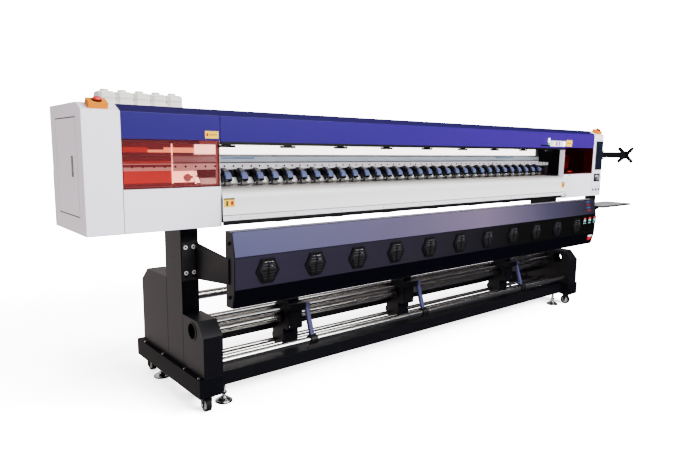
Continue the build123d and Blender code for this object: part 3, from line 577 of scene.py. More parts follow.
def make_covers(sizes):
    """Blue covers with their dark lower trim and catches, the bay's glowing panels, and the
    windows.
    """
    for hand in ("left", "centre", "right"):
        dress(f"{hand}_lid", f"{hand}_cover", ["cover lacquer", "cover painted shade lacquer"],
              sizes.edge, cover_shaded_side)
    x, _, z = extent("centre_lid")
    bm = bmesh.new()
    box(bm, (x[0] + 1, x[1] - 1), (-0.6, 0.4), (z[0] - 1, z[0] + 13), 0)
    box(bm, (x[0] + 1, x[1] - 1), (3, 14), (z[0] - 2, z[0] + 12), 0)
    for i in range(9):
        place = -1610 + 375.5 * i
        box(bm, (place - 50, place + 50), (0.5, 9), (z[0] - 16, z[0] - 4), 1)
        box(bm, (place - 26, place + 26), (3, 9), (z[0] - 6, z[0] + 1), 1)
    add_piece("centre_cover_trim", bm, "centre_lid",
              ["black plastic", "glossy black plastic"], edge=0.8 * MM)
    make_bay_painted_light()
    for hand in ("left", "right"):
        dress(f"{hand}_window", f"{hand}_window_pane", [f"{hand} window acrylic"], 0.5 * MM)
        wx, wy, wz = extent(f"{hand}_window")
        bm = bmesh.new()
        box(bm, (wx[0], wx[0] + 4), (wy[0] - 0.8, wy[1] + 0.8), (wz[0], wz[1] - 24))
        box(bm, (wx[1] - 9, wx[1]), (wy[0] - 0.8, wy[1] + 0.8), (wz[0], wz[1] - 24))
        box(bm, (wx[0], wx[1]), (wy[0] - 0.8, wy[1] + 0.8), (wz[0], wz[0] + 7))
        add_piece(f"{hand}_window_edge", bm, f"{hand}_lid", ["window edge"],
                  edge=0.6 * MM)


def make_bay_painted_light():
    """Panels that glow as painted light for the bay seen through the left window, with a dimmer
    glowing patch for the dark service box.
    """
    left, middle, right = -(CAP - 8), -1775, -(GAP + 2)
    y = (RAIL_FRONT - 2.6, RAIL_FRONT - 0.9)
    bm = bmesh.new()
    box(bm, (left, right), y, (RAIL_HIGH - 20, RAIL_HIGH + 2), 3)
    lamp_end = -1905
    box(bm, (lamp_end, right), y, (RAIL_HIGH - 46, RAIL_HIGH - 20), 2)
    box(bm, (left, lamp_end), y, (RAIL_HIGH - 46, RAIL_HIGH - 20), 1)
    box(bm, (lamp_end, lamp_end + 85), (y[0] - 1, y[1]), (RAIL_HIGH - 32, RAIL_HIGH + 2), 3)
    # the carriage's shoe runs along the rail here, so the panels lie flat on it
    flat, shoe = (RAIL_FRONT - 0.8, RAIL_FRONT), (RAIL_HIGH - 92, RAIL_HIGH - 67)
    box(bm, (left, middle), flat, shoe, 3)
    box(bm, (left, middle), y, (shoe[1], RAIL_HIGH - 46), 3)
    box(bm, (left, middle), y, (RAIL_LOW - 66, RAIL_HIGH - 92), 1)
    box(bm, (left + 60, middle), (y[0] - 1, y[1]), (RAIL_LOW + 22, RAIL_LOW + 36), 3)
    box(bm, (middle, right), y, (RAIL_LOW - 66, RAIL_LOW), 0)
    for depth, height in (((y[0] - 2, y[1]), (RAIL_LOW - 66, shoe[0])), (flat, shoe),
                          ((y[0] - 2, y[1]), (shoe[1], RAIL_HIGH))):
        box(bm, (middle - 4, middle + 2), depth, height, 0)
    box(bm, (middle + 60, right - 10), (y[0] - 1.5, y[1]), (RAIL_LOW - 40, RAIL_LOW - 26), 4)
    rod(bm, (middle + 84, y[0] - 1, RAIL_LOW - 36), 22, 2, "Y", 4, 28)
    box(bm, (left, right), (y[0] - 1, y[1]), (RAIL_LOW - 78, RAIL_LOW - 60), 3)
    add_piece("left_bay_painted_light", bm, "root",
              ["bay painted light", "bay painted light red", "bay painted light orange", "bay painted light dark",
               "bay painted light mauve"])
    # Two glowing patches seen through the right window, painted light like the left bay's lining.
    bm = bmesh.new()
    box(bm, (GAP + 12, GAP + 102), (26, 30), (1212, 1262), 0)
    box(bm, (GAP + 113, GAP + 173), (26, 30), (1180, 1190), 1)
    add_piece("right_bay_painted_light", bm, "root", ["bay painted light red", "bay painted light"])


# --- ink tanks ---------------------------------------------------------------------
def make_tanks():
    """Five milky tanks with shoulders, ribs and screw caps on their ledge."""
    x, y, z = extent("ink_tanks")
    width, pitch, corner = 90.0, 94.0, 16.0
    bm = bmesh.new()
    caps = bmesh.new()
    for i in range(5):
        left = x[0] + pitch * i - 1.5
        right = left + width + 3
        outline = [(left + corner, y[0]), (right - corner, y[0]), (right, y[0] + corner),
                   (right, y[1] - corner), (right - corner, y[1]), (left + corner, y[1]),
                   (left, y[1] - corner), (left, y[0] + corner)]
        top = z[1] - 12
        face = bm.faces.new([bm.verts.new((px, py, z[0])) for px, py in outline])
        for height, inset in ((70, 0), (4, 1.6), (6, 0), (4, -1.6), (96, 0), (4, 1.6),
                              (6, 0), (4, -1.6), (top - z[0] - 206, 0), (12, 9)):
            grown = bmesh.ops.extrude_face_region(bm, geom=[face])["geom"]
            face = next(g for g in grown if isinstance(g, bmesh.types.BMFace))
            middle = face.calc_center_median()
            bmesh.ops.translate(bm, vec=(0, 0, height), verts=face.verts[:])
            share = 1 - 2 * inset / width
            bmesh.ops.scale(bm, vec=(share, share, 1), verts=face.verts[:],
                            space=Matrix.Translation(-middle))
        cap = (left + width / 2, (y[0] + y[1]) / 2, z[1] - 8)
        rod(caps, cap, 21, 15, "Z", 0, 24)
        for k in range(12):
            turn = math.tau * k / 12
            rod(caps, (cap[0] + 21 * math.cos(turn), cap[1] + 21 * math.sin(turn), cap[2]),
                1.6, 13, "Z", 0, 6)
    add_piece("ink_tank_bodies", bm, "root", ["tank plastic"], ("ink_tanks",),
              edge=2.5 * MM)
    add_piece("ink_tank_caps", caps, "root", ["tank cap plastic"], edge=1.0 * MM)


# --- print bay ---------------------------------------------------------------------
def make_rail(sizes):
    """The guide rail: lamp strip on top, rail band, and a row of screws below; the band and the
    screw strip glow as painted light.
    """
    x = extent("rail_beam")[0]
    keep_node("rail_beam", "anodised aluminium")
    front = RAIL_FRONT
    bm = bmesh.new()
    box(bm, BAY, (front - 9, front), (RAIL_HIGH - 54, RAIL_HIGH - 2), 0)
    box(bm, x, (front - 5, front), (RAIL_HIGH - 66, RAIL_HIGH - 61), 1)
    box(bm, x, (front - 5, front), (RAIL_HIGH - 103, RAIL_HIGH - 98), 1)
    box(bm, x, (front - 0.7, front), (RAIL_HIGH - 97, RAIL_HIGH - 67), 2)
    box(bm, x, (front - 3, front), (RAIL_LOW + 3, RAIL_LOW + 40), 3)
    for low, high in ((-1488, -1268), (1069, 1328)):
        box(bm, (low, high), (front - 0.9, front), (RAIL_HIGH - 79, RAIL_HIGH - 72), 4)
    pitch = sizes.rail_pitch / MM
    for i in range(int((x[1] - x[0]) / pitch)):
        place = x[0] + 24 + pitch * i
        rod(bm, (place, front - 3.2, RAIL_LOW + 24), sizes.screw / MM * 1.6, 1.4, "Y", 5, 12)
    add_piece("guide_rail_face", bm, "root",
              ["lamp cover", "anodised aluminium", "rail blue anodised painted glow", "rail screw strip painted glow",
               "label blue", "glossy black plastic"], edge=0.5 * MM)


def make_pinch_row():
    """A sloping white deck with a sprung arm and roller at every place."""
    keep_node("pinch_rollers", "roller rubber")
    x = extent("pinch_arms")[0]
    bm = bmesh.new()
    prism(bm, [(238, 1166), (242, 1163), (266, 1190), (262, 1193)], (x[0] + 4, x[1] - 4))
    prism(bm, [(261, 1194), (267, 1190), (289, 1216), (289, 1233), (283, 1237)],
          (x[0] + 4, x[1] - 4), 1)
    prism(bm, [(240, 1160), (240, 1164), (299, 1164), (299, 1160)], (x[0] + 4, x[1] - 4))
    add_piece("pinch_deck", bm, "pinch_arms", ["white strip", "black plastic"],
              edge=0.6 * MM)
    arm = [(205, 1172), (205, 1190), (226, 1213), (252, 1228), (281, 1239), (289, 1233),
           (289, 1218), (244, 1166), (232, 1162), (224, 1172)]
    cap = [(200, 1186), (199, 1203), (210, 1218), (217, 1222), (222, 1206), (211, 1186)]
    top = [(217, 1222), (236, 1237), (262, 1244), (266, 1236), (240, 1222), (222, 1206)]
    lever = [(240, 1226), (246, 1240), (262, 1247), (279, 1244), (286, 1235), (262, 1232)]
    bm = bmesh.new()
    rod(bm, (0, 285, 1203), 6, x[1] - x[0], "X", 3, 20)
    for place in PINCH_PLACES:
        for low, high in ((-25, -18), (18, 25)):
            prism(bm, arm, (place + low, place + high), 0)
        prism(bm, arm[1:-3] + [(238, 1180), (216, 1180)], (place - 20, place + 20), 0)
        prism(bm, cap, (place - 18, place + 18), 1)
        prism(bm, top, (place - 15, place + 15), 2)
        prism(bm, lever, (place - 9, place + 9), 2)
        box(bm, (place - 31, place + 31), (206, 236), (1149.6, 1156), 0)
        rod(bm, (place, 203, 1188), 3.4, 4, "Y", 3, 12)
        rod(bm, (place, 215, 1159), 3, 48, "X", 3, 12)
    add_piece("pinch_arm_row", bm, "pinch_arms",
              ["black plastic", "pinch cap plastic", "pinch lever plastic", "cast zinc"],
              ("pinch_arms",), edge=0.7 * MM)


def make_deck(sizes):
    """Platen with its suction holes, rolled aprons with their strips and screws."""
    keep_node("platen", "deck lacquer painted shade")
    keep_node("media_aprons", "deck lacquer painted shade")
    keep_node("feed_roller", "ground steel")
    top = extent("platen")[2][1]
    holes = bmesh.new()
    for row, y in enumerate((70, 100, 130, 160)):
        for i in range(82):
            place = BAY[0] + 30 + 40 * i + 20 * (row % 2)
            rod(holes, (place, y, top), 2.0, 0.5, "Z", 0, 8)
    add_piece("suction_holes", holes, "root", ["seam shadow"])
    front = extent("media_aprons")[1][0]
    low = extent("media_aprons")[2][0]
    bm = bmesh.new()
    box(bm, BAY, (front - 1.6, front), (low, low + 26), 0)
    box(bm, BAY, (front - 2.4, front + 4), (low - 21, low - 1), 1)
    box(bm, BAY, (front - 0.6, front + 0.4), (low + 26, low + 29.5), 2)
    for i in range(10):
        place = BAY[0] + 95 + 344 * i
        rod(bm, (place, front - 2, low + 13), sizes.screw / MM, 2.2, "Y", 3, 14)
    # brackets that carry the strip, under the beam
    for place in (-1260, -860, -440, 0, 440, 860, 1260):
        prism(bm, [(front, low - 14), (front + 60, low - 14), (front + 60, low - 30),
                   (front + 40, low - 30)], (place - 40, place + 40), 1)
    add_piece("apron_strips", bm, "root",
              ["white strip", "black plastic", "seam shadow", "cast zinc"],
              edge=0.5 * MM)
    # shaft ends of the feed roller at the right end of the apron
    bm = bmesh.new()
    rod(bm, (BAY[1] - 30, front - 2, low - 2), 13, 42, "X", 0, 24)
    rod(bm, (BAY[1] - 8, front - 2, low - 2), 17, 8, "X", 1, 24)
    add_piece("apron_end_tube", bm, "root", ["white strip", "black plastic"],
              edge=1.0 * MM)


def make_inner_works(sizes):
    """Carriage with its heads and cover panels, belt and pulleys, rear cover, beams."""
    dress("carriage", "carriage_body", ["carriage plastic"], 2.0 * MM)
    x, y, _ = extent("carriage")
    bm = bmesh.new()
    box(bm, (x[0] + 26, x[0] + 120), (y[0] - 2, y[0] + 1), (1250, 1330), 1)
    box(bm, (x[0] + 150, x[1] - 26), (y[0] - 2, y[0] + 1), (1180, 1340), 0)
    for i in range(6):
        box(bm, (x[0] + 160 + 36 * i, x[0] + 180 + 36 * i), (y[0] - 4, y[0] + 1), (1190, 1236), 2)
    for px in (x[0] + 16, x[1] - 16):
        for pz in (1176, 1352):
            rod(bm, (px, y[0] - 0.6, pz), sizes.screw / MM, 2.6, "Y", 3, 12)
    add_piece("carriage_front_panels", bm, "carriage",
              ["glossy black plastic", "stop red", "black plastic", "cast zinc"],
              edge=1.0 * MM)
    keep_node("carriage_belt", "tyre rubber")
    for node in ("idler_pulley", "drive_pulley"):
        keep_node(node, "anodised aluminium")
    keep_node("rail_brackets", "powder coat")
    dress("rear_cover", "rear_cover_sheet", ["cover lacquer", "cover painted shade lacquer"], 0.8 * MM)
    bm = bmesh.new()
    for place in range(-1500, 1501, 300):
        for row in range(8):
            low = 1300 + 18 * row
            box(bm, (place - 45, place + 45), (DEPTH - 0.2, DEPTH + 1.2), (low, low + 6), 0)
        rod(bm, (place + 150, DEPTH + 1, 1262), sizes.screw / MM, 2.4, "Y", 1, 12)
    add_piece("rear_cover_vents", bm, "root", ["seam shadow", "cast zinc"])


# --- controls ----------------------------------------------------------------------
def make_controls():
    """Screen, knob and buttons on the right, stop boxes, status light and labels."""
    bm = bmesh.new()
    box(bm, (2176, 2296), (-8, 0), (1196, 1456), 0)
    box(bm, (2183, 2289), (-8.6, -7), (1204, 1448), 1)
    box(bm, (2171, 2277), (-5, 0), (1087, 1159), 0)
    ring(bm, (KNOB[0], -5.1, KNOB[1]), 26, 30, 1.4, "Y", 2)
    for x in BUTTON_PLACES:
        ring(bm, (x, -2.5, 1013), 10.6, 14, 5, "Y", 2)
        box(bm, (x - 9, x + 9), (-0.7, 0.3), (980, 984), 3)
        box(bm, (x - 8, x + 8), (-0.7, 0.3), (1038, 1041), 3)
    add_piece("operator_bezels", bm, "root",
              ["glossy black plastic", "screen glass", "satin steel", "seam shadow"],
              ("operator_panel",), edge=1.2 * MM)
    bm = bmesh.new()
    x, z = KNOB
    rod(bm, (x, -9.5, z), 24, 8, "Y", 0, 40)
    rod(bm, (x, -16.5, z), 21, 7, "Y", 0, 40)
    box(bm, (x - 5, x + 5), (-30, -19), (z - 22, z + 22), 0)
    box(bm, (x - 1, x + 1), (-30.6, -29), (z + 5, z + 21), 1)
    add_piece("power_switch_knob", bm, "power_knob", ["satin steel", "label red"],
              ("power_knob",), edge=1.2 * MM)
    for i, x in enumerate(BUTTON_PLACES):
        bm = bmesh.new()
        rod(bm, (x, -6, 1013), 9.6, 6, "Y", 0, 32)
        add_piece(f"menu_button_cap_{i + 1}", bm, f"menu_button_{i + 1}", ["button blue"],
                  (f"menu_button_{i + 1}",), edge=1.4 * MM)
    make_stops()
    make_labels()


def make_stops():
    """Yellow stop boxes on the sloped edge, each with a red mushroom button."""
    slope = math.degrees(math.atan2(35, 71))
    foot = (35.5, HOUSING_TOP - 17.5)
    dress("estop_boxes", "stop_switch_boxes", ["safety yellow"], 3.0 * MM)
    for side, hand in ((-1, "left"), (1, "right")):
        x = side * STOP_SIDE
        bm = bmesh.new()
        corners = []
        # stem, collar and a domed head, straight up, then laid over on the slope
        for radius, low, high, tip in ((8.6, 24, 34, None), (17.5, 34, 40, None),
                                       (17.5, 40, 43.5, 12.5)):
            corners += rod(bm, (x, foot[0], foot[1] + (low + high) / 2), radius, high - low,
                           "Z", 0, 36, tip)
        tilt(bm, corners, (x, *foot), slope)
        add_piece(f"{hand}_stop_mushroom", bm, f"{hand}_estop_button", ["stop red"],
                  (f"{hand}_estop_button",), edge=1.0 * MM)
        bm = bmesh.new()
        corners = ring(bm, (x, foot[0], foot[1] + 29), 10.5, 22, 1.6, "Z", 0)
        tilt(bm, corners, (x, *foot), slope)
        add_piece(f"{hand}_stop_collar", bm, "root", ["black plastic"],
                  edge=0.4 * MM)


def make_labels():
    """Plain coloured labels without wording, and the status light."""
    bm = bmesh.new()
    box(bm, (-1729, -1656), (-0.8, 0.2), (1402, 1438), 0)
    box(bm, (-1722, -1712), (-1.0, 0.0), (1413, 1427), 2)
    box(bm, (-1705, -1664), (-1.0, 0.0), (1418, 1422), 1)
    add_piece("left_cover_label", bm, "left_lid", ["label yellow", "label ink", "label red"])
    bm = bmesh.new()
    for x, shade in ((1400, 4), (1440, 3), (1480, 5), (1520, 6), (1560, 3), (1600, 9)):
        box(bm, (x, x + 40), (-0.8, 0.2), (1401, 1447), 3)
        box(bm, (x + 9, x + 33), (-1.0, 0.0), (1407, 1441), shade)
    # bracket and status light standing on it
    box(bm, (1260, 1392), (-7, 0), (1404, 1411), 7)
    rod(bm, (1374, -4, 1423), 7, 22, "Z", 8, 20)
    rod(bm, (1374, -4, 1450), 7, 32, "Z", 9, 20)
    add_piece("ink_colour_label", bm, "centre_lid",
              ["label yellow", "label ink", "label red", "white strip", "label mint",
               "stop red", "label blue", "black plastic", "lamp green", "lamp cover"],
              edge=0.3 * MM)
    bm = bmesh.new()
    box(bm, (1652, 1748), (-0.8, 0.2), (1402, 1456), 0)
    box(bm, (1668, 1732), (-1.0, 0.0), (1426, 1431), 1)
    add_piece("right_cover_label", bm, "right_lid", ["label yellow", "label ink"])
    front = extent("media_aprons")[1][0]
    bm = bmesh.new()
    for low, high, z in ((-1640, -1578, (1056, 1094)), (1592, 1642, (1050, 1090))):
        box(bm, (low, high), (front - 0.8, front + 0.2), z, 0)
        box(bm, (low, high), (front - 1.0, front), (z[1], z[1] + 8), 1)
        box(bm, (low + 12, low + 24), (front - 1.0, front), (z[0] + 6, z[1] - 6), 1)
        box(bm, (high - 22, high - 8), (front - 1.0, front), (z[0] + 10, z[1] - 8), 2)
    add_piece("apron_labels", bm, "root", ["label yellow", "label ink", "label red"])
    bm = bmesh.new()
    rod(bm, (1740, -0.4, 1132), 30, 1.0, "Y", 0, 40)
    rod(bm, (1740, -1.0, 1132), 24, 0.8, "Y", 1, 40)
    box(bm, (1724, 1756), (-1.4, 0), (1146, 1153), 2)
    add_piece("right_housing_badge", bm, "root", ["label mint", "white strip", "stop red"])


# --- dryer -------------------------------------------------------------------------
def dryer_panel(face):
    """Upper, fan, lower and back panels of the dryer, by where their middle lies."""
    height = face.calc_center_median().z / MM
    if abs(face.normal.x) > 0.5 or face.normal.y > 0.5:
        return 1
    if height > 842:
        return 0
    return 1 if height > 678 else 2


def dryer_frame():
    """The fan panel's middle and its tilt from upright, in degrees."""
    high, low = (-270.0, 840.0), (-266.0, 680.0)
    middle = ((high[0] + low[0]) / 2, (high[1] + low[1]) / 2)
    return middle, math.degrees(math.atan2(low[0] - high[0], high[1] - low[1]))


def make_dryer(sizes):
    """Drying box: three front panels, end plates, fan cowls and controllers."""
    dress("dryer_shell", "dryer_panels",
          ["dryer top panel painted reflection", "dryer fan panel painted light", "dryer foot panel"], 0.8 * MM, dryer_panel)
    dress("dryer_ends", "dryer_end_plates", ["powder coat"], sizes.edge)
    keep_node("heater_tubes", "satin steel")
    keep_node("dryer_fans", "black plastic")
    (face_y, face_z), lean = dryer_frame()
    bm = bmesh.new()
    deep = sizes.cowl / MM
    for x in FAN_PLACES:
        corners = []
        hexagon = [(-40, 60), (40, 60), (59, 6), (33, -62), (-33, -62), (-59, 6)]
        corners += plate(bm, [(x + a, face_z + b) for a, b in hexagon],
                         (face_y - deep * 0.45, face_y), 0)
        inner = [(a * 0.80, b * 0.80) for a, b in hexagon]
        corners += plate(bm, [(x + a, face_z + b) for a, b in inner],
                         (face_y - deep * 0.75, face_y - deep * 0.4), 1)
        # The three upper slats take a lighter grey as a painted highlight.
        for row in range(7):
            half = 30 + 10 * (1 - abs(row - 3.4) / 3.4)
            z = face_z + 44 - 14.5 * row
            corners += box(bm, (x - half, x + half), (face_y - deep, face_y - deep * 0.7),
                           (z - 2.6, z + 2.6), 3 if row < 3 else 0)
        corners += box(bm, (x - 4, x + 4), (face_y - deep * 1.05, face_y - deep * 0.7),
                       (face_z - 50, face_z + 48), 0)
        for a in (-17, 3, 19):
            corners += box(bm, (x + a - 5, x + a + 5), (face_y - deep * 1.1, face_y - deep),
                           (face_z + 43, face_z + 46), 2)
        corners += box(bm, (x + 14, x + 24), (face_y - deep * 1.1, face_y - deep),
                       (face_z + 22, face_z + 25), 2)
        tilt(bm, corners, (x, face_y, face_z), lean)
    add_piece("fan_cowls", bm, "root",
              ["cowl plastic", "seam shadow", "satin steel", "cowl bars painted highlight"],
              edge=1.0 * MM)
    make_controllers(face_y, face_z, lean)
    make_dryer_trim()


def make_controllers(face_y, face_z, lean):
    """Three temperature controllers with lit figures, and a column of small marks."""
    bm = bmesh.new()
    for x in (1532, 1612, 1692):
        corners = box(bm, (x - 25, x + 25), (face_y - 10, face_y), (face_z + 3, face_z + 65), 0)
        corners += box(bm, (x - 20, x + 20), (face_y - 10.8, face_y - 9),
                       (face_z + 26, face_z + 60), 1)
        for row, shade in ((50, 3), (34, 2)):
            for k in range(3):
                left = x - 15 + 11 * k
                for bar in (-6, 0, 6):
                    corners += box(bm, (left, left + 7), (face_y - 11.4, face_y - 10.6),
                                   (face_z + row + bar - 0.9, face_z + row + bar + 0.9), shade)
                corners += box(bm, (left + 6, left + 8), (face_y - 11.4, face_y - 10.6),
                               (face_z + row - 6, face_z + row + 6), shade)
        for k in range(4):
            corners += box(bm, (x - 18 + 10 * k, x - 12 + 10 * k), (face_y - 11.2, face_y - 10),
                           (face_z + 10, face_z + 15), 4)
        tilt(bm, corners, (x, face_y, face_z), lean)
    add_piece("temperature_controllers", bm, "root",
              ["black plastic", "glossy black plastic", "display digits", "display red",
               "label mint"], ("dryer_controllers",), edge=0.6 * MM)


def make_dryer_trim():
    """Edge strips between the dryer's panels, end screws and a plain marking plate."""
    x = extent("dryer_shell")[0]
    bm = bmesh.new()
    for y, z in ((-247, 962), (-270, 840), (-266, 680), (-244, 588)):
        rod(bm, (0, y + 0.6, z), 1.8, x[1] - x[0], "X", 0, 10)
    for side in (-1, 1):
        end = side * (abs(x[0]) + 6)
        for y, z in ((-222, 905), (-222, 640)):
            rod(bm, (end + side * 4, y, z), 9, 8, "X", 1, 20)
            rod(bm, (end + side * 9, y, z), 4, 4, "X", 1, 12)
    # marking plate at the right end of the upper panel
    lean = math.degrees(math.atan2(23, 122))
    corners = []
    for row, shade in ((0, 2), (1, 3), (2, 2), (3, 3)):
        low = 868 + 24 * row
        corners += box(bm, (1588, 1646), (-271.4, -269.4), (low, low + 11), shade + 3)
    tilt(bm, corners, (1615, -270, 840), -lean)
    corners = box(bm, (1640, 1700), (-263, -261.4), (618, 648), 2)
    corners += box(bm, (1640, 1700), (-263.2, -261.6), (648, 662), 4)
    tilt(bm, corners, (1670, -261.6, 662), 13.5)
    add_piece("dryer_trim", bm, "root",
              ["dryer foot panel", "black plastic", "label red", "label blue", "white strip",
               "mark red", "mark blue"], edge=0.4 * MM)


# --- stand -------------------------------------------------------------------------
def make_stand(sizes):
    """Skids, columns, leg boxes and beams with their bolts, grommets and joints."""
    for node, name, coat in (("leg_skids", "skid_tubes", "skid coat"),
                             ("leg_columns", "column_tubes", "powder coat"),
                             ("leg_boxes", "leg_box_panels", "powder coat"),
                             ("cross_beams", "cross_beam_tubes", "powder coat")):
        dress(node, name, [coat], sizes.tube_edge if "tubes" in name else sizes.edge)
    keep_node("frame_bolts", "cast zinc")
    bm = bmesh.new()
    for side in (-1, 1):
        for x in (COLUMN_SIDE, 1700):
            ring(bm, (side * x, 38, 420), 41, 50, 6, "X", 0)
        # joints between the column and the boxes before and behind it
        for y, high in ((150, 485), (350, 651)):
            box(bm, sorted((side * (COLUMN_SIDE - 0.6), side * (COLUMN_SIDE + 0.5))),
                (y - 1.6, y + 1.6), (196, high), 2)
        # plate that joins the dryer's bracket to the column, and its four bolts; the bolts' pale
        # grey rings are a painted glint of bright metal
        box(bm, sorted((side * 1716, side * 1803)), (134, 141), (664, 868), 2)
        for x in (1743, 1787):
            for z in (706, 842):
                ring(bm, (side * x, 133.4, z), 6, 11, 1.6, "Y", 1, 20)
    add_piece("stand_fittings", bm, "root", ["black plastic", "wheel hub", "seam shadow"],
              edge=0.6 * MM)


# --- take-up -----------------------------------------------------------------------
def clamp_end(face):
    """The end of a tension arm that clamps the tube is black."""
    return 1 if face.calc_center_median().z / MM < TENSION[2][1] + 14 else 0


def make_take_up(sizes):
    """Rollers, rods, blocks with covers and motors, and the swinging tension arms."""
    for node in ("guide_roller", "unwind_shaft", "tension_tube", "slide_rods"):
        keep_node(node, "ground steel")
    # a little thinner than the blocks' bores, so its facets turn freely in theirs
    x, y, z = extent("winding_shaft")
    bm = bmesh.new()
    for radius, size in ((24.6, 2 * x[1] - 44), (JOURNAL, 2 * x[1])):
        rod(bm, (0, sum(y) / 2, sum(z) / 2), radius, size, "X", 0, 64)
    add_piece("winding_tube", bm, "winding_shaft", ["ground steel"],
              ("winding_shaft",), edge=0.5 * MM)
    dress("take_up_blocks", "take_up_block_bodies", ["powder coat"], sizes.tube_edge)
    dress("tension_arms", "tension_arm_plates", ["tension arm lacquer", "black plastic"],
          sizes.edge, clamp_end)
    bm = bmesh.new()
    for place in ARM_PLACES:
        # folded cover on the front of each block, with a dark window for the drive
        box(bm, (place - 112, place - 24), (46, 50.5), (316, 456), 0)
        box(bm, (place - 100, place - 40), (44.5, 47), (330, 410), 1)
        box(bm, (place - 118, place - 18), (54, 166), (465, 470), 0)
        box(bm, (place - 106, place - 34), (60, 140), (470, 488), 1)
        for x in (place - 108, place - 28):
            for z in (322, 448):
                rod(bm, (x, 44.5, z), sizes.screw / MM, 3, "Y", 2, 12)
        for x in (place - 128, place - 8):
            ring(bm, (x, 130, 370), 25.4, 36, 12, "X", 1)
        rod(bm, (place + 19, 30, 445), 15, 4, "X", 2, 24)
        rod(bm, (place - 70, 190, 240), 30, 96, "X", 1, 28)
    add_piece("take_up_block_covers", bm, "root", ["black plastic", "powder coat", "cast zinc"],
              edge=1.4 * MM)
    bm = bmesh.new()
    tube_y = sum(TENSION[1]) / 2
    tube_z = sum(TENSION[2]) / 2
    for place in ARM_PLACES:
        for side in (-1, 1):
            ring(bm, (place + side * 19, tube_y, tube_z), 20.4, 29, 11, "X", 0)
            ring(bm, (place + side * 14, 30, 445), 10.6, 17, 2, "X", 0)
        rod(bm, (place + 13.5, tube_y, tube_z - 26), 3, 3, "X", 1, 10)
    add_piece("tension_arm_collars", bm, "tension_arms", ["black plastic", "cast zinc"],
              edge=0.8 * MM)


# --- feet and casters --------------------------------------------------------------
def make_feet():
    """Levelling feet with turned pads, nuts and threads."""
    for corner in ("front_left", "front_right", "rear_left", "rear_right"):
        node = f"{corner}_levelling_foot"
        x, y, z = extent(node)
        cx, cy = sum(x) / 2, sum(y) / 2
        bm = bmesh.new()
        rod(bm, (cx, cy, 3), 45, 6, "Z", 1, 48)
        rod(bm, (cx, cy, 8), 44, 4, "Z", 0, 48, 40)
        rod(bm, (cx, cy, 16), 38, 12, "Z", 0, 48, 22)
        rod(bm, (cx, cy, 26), 20, 8, "Z", 0, 48, 13)
        rod(bm, (cx, cy, (z[1] + 28) / 2), 8, z[1] - 28, "Z", 0, 24)
        for k in range(int((z[1] - 32) / 3.5)):
            ring(bm, (cx, cy, 32 + 3.5 * k), 7.6, 8.7, 1.4, "Z", 0, 20)
        rod(bm, (cx, cy, 51), 16, 10, "Z", 0, 6)
        add_piece(f"{corner}_foot", bm, f"{corner}_foot", ["cast zinc", "black plastic"],
                  (node,), edge=0.6 * MM)


def add_wheel(bm, x, y, z):
    """A tyre on a pale hub, with bearing caps and spokes."""
    ring(bm, (x, y, z), 25, 36, 27, "X", 0, 48)
    ring(bm, (x, y, z), 23, 25.4, 30, "X", 1, 48)
    ring(bm, (x, y, z), 12, 23.4, 18, "X", 1, 48)
    ring(bm, (x, y, z), 5.2, 13, 34, "X", 1, 32)
    for k in range(6):
        turn = math.tau * k / 6
        corners = box(bm, (x - 12, x + 12), (y + 12, y + 24), (z - 2, z + 2), 1)
        tilt(bm, corners, (x, y, z), math.degrees(turn))


def make_casters(sizes):
    """Twin-cheeked casters with pale hubs."""
    for hand in ("left", "right"):
        x, y, z = extent(f"{hand}_caster_wheel")
        cx, cy, cz = sum(x) / 2, sum(y) / 2, sum(z) / 2
        bm = bmesh.new()
        add_wheel(bm, cx, cy, cz)
        add_piece(f"{hand}_caster_tyre_and_hub", bm, f"{hand}_caster_wheel",
                  ["tyre rubber", "wheel hub"], (f"{hand}_caster_wheel",),
                  edge=1.2 * MM)
        dress(f"{hand}_caster_fork", f"{hand}_caster_cheeks", ["black plastic"], sizes.edge)
        bm = bmesh.new()
        for side in (-1, 1):
            rod(bm, (cx + side * 26, cy, cz), 8, 5, "X", 0, 6)
            prism(bm, [(cy - 14, 70), (cy + 14, 70), (cy + 12, 30), (cy - 12, 30)],
                  (cx + side * 22 - 2.5, cx + side * 22 + 2.5), 1)
        add_piece(f"{hand}_caster_axle_nuts", bm, f"{hand}_caster_fork",
                  ["cast zinc", "black plastic"], edge=0.6 * MM)
    _, y, z = extent("rear_wheels")
    bm = bmesh.new()
    for side in (-1, 1):
        add_wheel(bm, side * 1767, sum(y) / 2, sum(z) / 2)
    add_piece("rear_tyres_and_hubs", bm, "rear_wheels", ["tyre rubber", "wheel hub"],
              ("rear_wheels",), edge=1.2 * MM)


